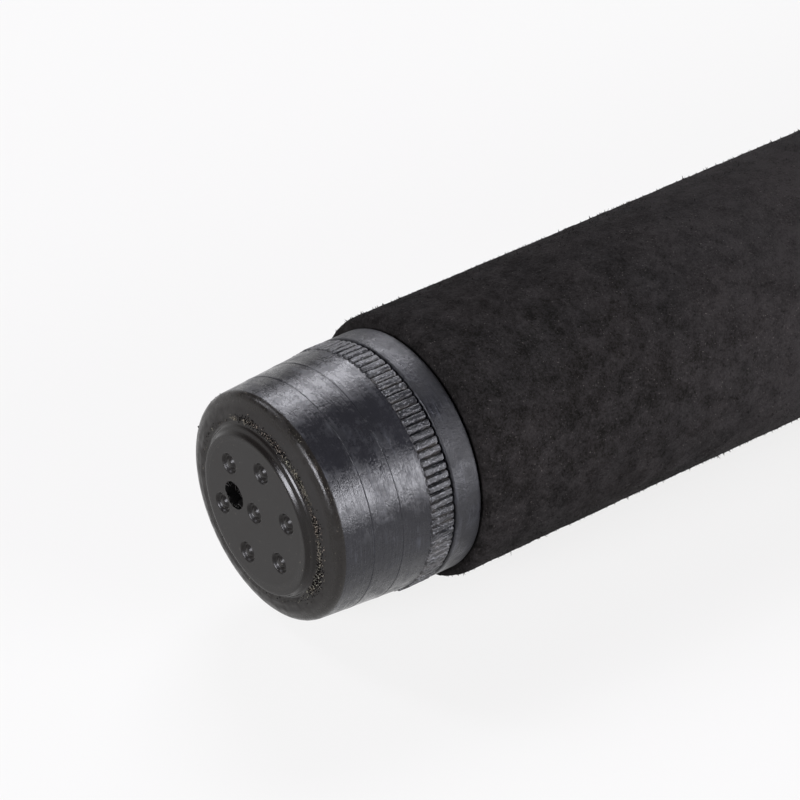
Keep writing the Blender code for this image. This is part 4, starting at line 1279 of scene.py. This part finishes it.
def end_radii(node):
    """A node's smallest and largest distance from the axis at each of its two ends."""
    start, end, _ = span(node)
    radii = []
    for place in (start, end):
        reaches = [reach for x, reach in corners_of(node) if abs(x - place) < 0.01 * mm]
        radii.append((place, min(reaches), max(reaches)))
    return radii


def make_blank(node, body):
    """A tapered tube, with its wall as in the frame and a soft edge at each end."""
    (start, inner_start, outer_start), (end, inner_end, outer_end) = end_radii(node)
    if outer_start - inner_start < 0.1 * mm:    # the tip is solid, so its ends have no bore
        inner_start = inner_end = 0.05 * mm
    edge = 0.2 * mm
    outline = rounded([
        (start, inner_start, 0), (start, outer_start, edge), (end, outer_end, edge),
        (end, inner_end, 0),
    ], steps=3)
    turned(f"{node}_tube", outline, 96, "lacquered_carbon", body, node)


def wire_ring(shape, height, x, outline):
    """Spins an outline of (x, radius) about a guide ring's own axis."""
    rows = []
    for along, reach in outline:
        rows.append([
            (x + along, -height + reach * cos(angle), reach * sin(angle)) for angle in turn_of(112)
        ])
    add_rows(shape, rows)


def guide_ring_sizes(ring_node):
    """A guide ring's place along the rod, its height over the axis, its radius and half width."""
    low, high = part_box(ring_node)
    centre = (low + high) / 2 - ORIGIN
    return centre.x, -centre.y, (high.z - low.z) / 2, (high.x - low.x) / 2


def make_guide_ring(node, body):
    """The ceramic ring: its bore is rounded so that the line runs over no edge."""
    x, height, outer, half = guide_ring_sizes(node)
    wall = outer / 6
    inner_edge = outer - 0.6 * wall
    outline = rounded([
        (-half, outer, 0.1 * mm), (-half, inner_edge, 0.3 * wall), (0.0, outer - wall, wall),
        (half, inner_edge, 0.3 * wall), (half, outer, 0.1 * mm),
    ], steps=6)
    shape = bmesh.new()
    wire_ring(shape, height, x, outline)
    made_piece(f"{node}_polished", shape, ["polished_ceramic"], body, node)


def add_leg(shape, points, width, thickness):
    """A flat strip along a bent path, its edges rounded, closed at both ends."""
    rows = []
    for place, point in enumerate(points):
        before = points[max(place - 1, 0)]
        after = points[min(place + 1, len(points) - 1)]
        along = (after - before).normalized()
        across = along.cross(Vector((1, 0, 0))).normalized()
        row = []
        for angle in turn_of(10):
            reach = Vector((copysign(width / 2 * abs(cos(angle)) ** 0.6, cos(angle)), 0, 0))
            reach += across * copysign(thickness / 2 * abs(sin(angle)) ** 0.6, sin(angle))
            row.append(point + reach)
        rows.append(row)
    corners = add_rows(shape, rows, closed=False)
    add_disc(shape, corners[0])
    add_disc(shape, corners[-1])


def make_guide_frame(frame_node, ring_node, body):
    """A guide's frame: ferrule round the blank, two bowed legs and the seat round the ring."""
    start, end, _ = span(frame_node)
    (_, bore, rim), (_, _, nose) = end_radii(frame_node)
    x, height, ring_outer, _ = guide_ring_sizes(ring_node)
    seat = ring_outer + 0.3 * mm
    outer = seat + GUIDE_SEAT_WALL
    neck = bore + 1.2 * mm
    shape = bmesh.new()
    ferrule = rounded([
        (start, bore, 0), (start, rim, 0.3 * mm), (start + 2.5 * mm, rim, 0.8 * mm),
        (start + 5.0 * mm, neck, 0.8 * mm), (end, nose, 0.25 * mm), (end, bore, 0),
    ])
    add_rows(shape, rings_of(ferrule, 96))
    half = GUIDE_SEAT_HALF
    wire_ring(shape, height, x, rounded([
        (-half, seat, 0.1 * mm), (-half, outer, 0.5 * mm), (half, outer, 0.5 * mm),
        (half, seat, 0.1 * mm),
    ], steps=4))
    foot_reach, head_reach = bore + 0.6 * mm, outer - 0.6 * mm
    for side in (1, -1):
        foot = Vector((x, -foot_reach * cos(LEG_FOOT), side * foot_reach * sin(LEG_FOOT)))
        head = Vector((
            x, -height + head_reach * cos(LEG_HEAD), side * head_reach * sin(LEG_HEAD)
        ))
        bow = Vector((0, 0, side * (head - foot).length * LEG_BOW))
        middle = (foot + head) / 2 + bow
        points = [
            foot * (1 - share) ** 2 + 2 * share * (1 - share) * middle + head * share ** 2
            for share in np.linspace(0, 1, 9).tolist()
        ]
        add_leg(shape, points, LEG_WIDTH, LEG_THICKNESS)
    made_piece(f"{frame_node}_steel", shape, ["black_chrome"], body, frame_node)


# Stage

def floor_paper(add, place):
    """Matt paper. The camera and reflections see mostly its own even white."""
    cloud = add("TexNoise", [place, 1 / (60 * mm), 2])
    tone = add("Mix", [cloud, ROOM_WHITE, "#f2f2f1"], data_type="RGBA")
    path = add("LightPath").outputs
    seen = add("Math", [path["Is Camera Ray"], path["Is Glossy Ray"]], operation="MAXIMUM")
    seen = add("Math", [seen, path["Is Transmission Ray"]], operation="MAXIMUM")
    # far from the drawn-out rod no shadow falls, and the floor stays even under the lamps
    middle, (half_long, half_wide) = FLOOR_SHADED
    away = add("VectorMath", [
        place, (1 / half_long, 1 / half_wide, 0), (-middle / half_long, 0, 0)
    ], operation="MULTIPLY_ADD")
    away = add("VectorMath", [away], operation="LENGTH")
    own = add("MapRange", [away, 0.8, 1.5, FLOOR_GLOW, 1.0])
    share = add("Math", [seen, own], operation="MULTIPLY")
    paper = add("BsdfDiffuse", {"Color": tone})
    glow = add("Emission", {"Color": tone, "Strength": 1.0})
    return add("MixShader", [share, paper, glow])


def make_floor():
    """A pale floor that runs out to the horizon."""
    shape = bmesh.new()
    bmesh.ops.create_circle(shape, cap_ends=True, radius=FLOOR_RADIUS, segments=64)
    mesh = bpy.data.meshes.new("floor")
    shape.to_mesh(mesh)
    shape.free()
    mesh.materials.append(made_material("floor_paper", floor_paper))
    placed("floor", mesh)


def make_world():
    """A pale room up to a little above the horizon, and a dim ceiling over it."""
    world = bpy.data.worlds.new("studio")
    bpy.context.scene.world = world
    world.use_nodes = True
    world.node_tree.nodes.clear()
    add = partial(add_node, world.node_tree)
    way = add("SeparateXYZ", [add("TexCoord").outputs["Generated"]]).outputs["Z"]
    low, high = (sin(radians(angle)) for angle in HORIZON)
    share = add("MapRange", [way, low, high])
    colour = add("Mix", [share, ROOM_WHITE, CEILING], data_type="RGBA")
    add("OutputWorld", [add("Background", [colour, 1.0])])


def make_softboxes():
    """Four softboxes that light the cap, all as far from it; the camera doesn't see them."""
    for name, (toward, width, height, radiance) in SOFTBOXES.items():
        light = bpy.data.lights.new(name, "AREA")
        light.shape = "RECTANGLE"
        light.size = 2 * SOFTBOX_DISTANCE * tan(radians(width / 2))
        light.size_y = 2 * SOFTBOX_DISTANCE * tan(radians(height / 2))
        light.energy = SOFTBOX_WATTS * radiance * light.size * light.size_y
        light.color = linear(SOFTBOX_WHITE)[:3]
        box = placed(name, light)
        box.location = ORIGIN + Vector(toward).normalized() * SOFTBOX_DISTANCE
        box.rotation_euler = Vector(toward).to_track_quat("Z", "Y").to_euler()
        box.visible_camera = False


def make_camera():
    """The camera, where it stood for the photograph."""
    azimuth, elevation = radians(VIEW_AZIMUTH), radians(VIEW_ELEVATION)
    level = cos(elevation)
    right = Vector((cos(azimuth), sin(azimuth), 0))
    forward = Vector((-sin(azimuth) * level, cos(azimuth) * level, -sin(elevation)))
    up = right.cross(forward)
    lens = bpy.data.cameras.new("camera")
    lens.lens = LENS
    lens.sensor_width = SENSOR
    lens.clip_start = 0.01
    camera = placed("camera", lens)
    camera.location = ORIGIN + right * VIEW_RIGHT + up * VIEW_UP - forward * VIEW_DISTANCE
    camera.rotation_euler = (pi / 2 - elevation, 0, azimuth)
    bpy.context.scene.camera = camera


def make_rod():
    """Every piece of the rod, from the butt to the tip."""
    make_butt_cap()
    make_knurl()
    make_cap_grit()
    make_cap_plug()
    make_cap_seal()
    make_silencer_pad()
    make_butt_bush()
    make_grip(
        "rear_grip_foam", "rear_grip", tail=15 * mm, swell_at=85 * mm, nose=13.9 * mm,
        columns=240, step=0.42 * mm, seed=1,
    )
    make_trim_ring("rear_trim", "rear_trim_ring", tail=13.9 * mm, nose=14.2 * mm)
    make_seat()
    on_barrel = SEAT_RADIUS + HOOD_GAP
    on_thread = SEAT_RADIUS + SEAT_THREAD_DEPTH + HOOD_GAP
    make_hood("fixed_hood_steel", "fixed_hood", "handle", way=-1, bore=on_barrel)
    make_hood("moving_hood_steel", "moving_hood", "reel_hood", way=1, bore=on_thread)
    make_lock_nut()
    make_trim_ring("fore_trim", "fore_trim_ring", tail=14 * mm, nose=14 * mm)
    make_grip(
        "foregrip_foam", "foregrip", tail=14 * mm, swell_at=24 * mm, nose=11.6 * mm,
        columns=200, step=0.5 * mm, seed=2,
    )
    make_winding_check()
    make_base_wrap()
    for body, blank, guide_frame, ring in SECTIONS:
        make_blank(blank, body)
        make_guide_frame(guide_frame, ring, body)
        make_guide_ring(ring, body)


bpy.context.scene.view_settings.view_transform = "Standard"
make_world()
make_softboxes()
make_floor()
make_camera()
make_rod()
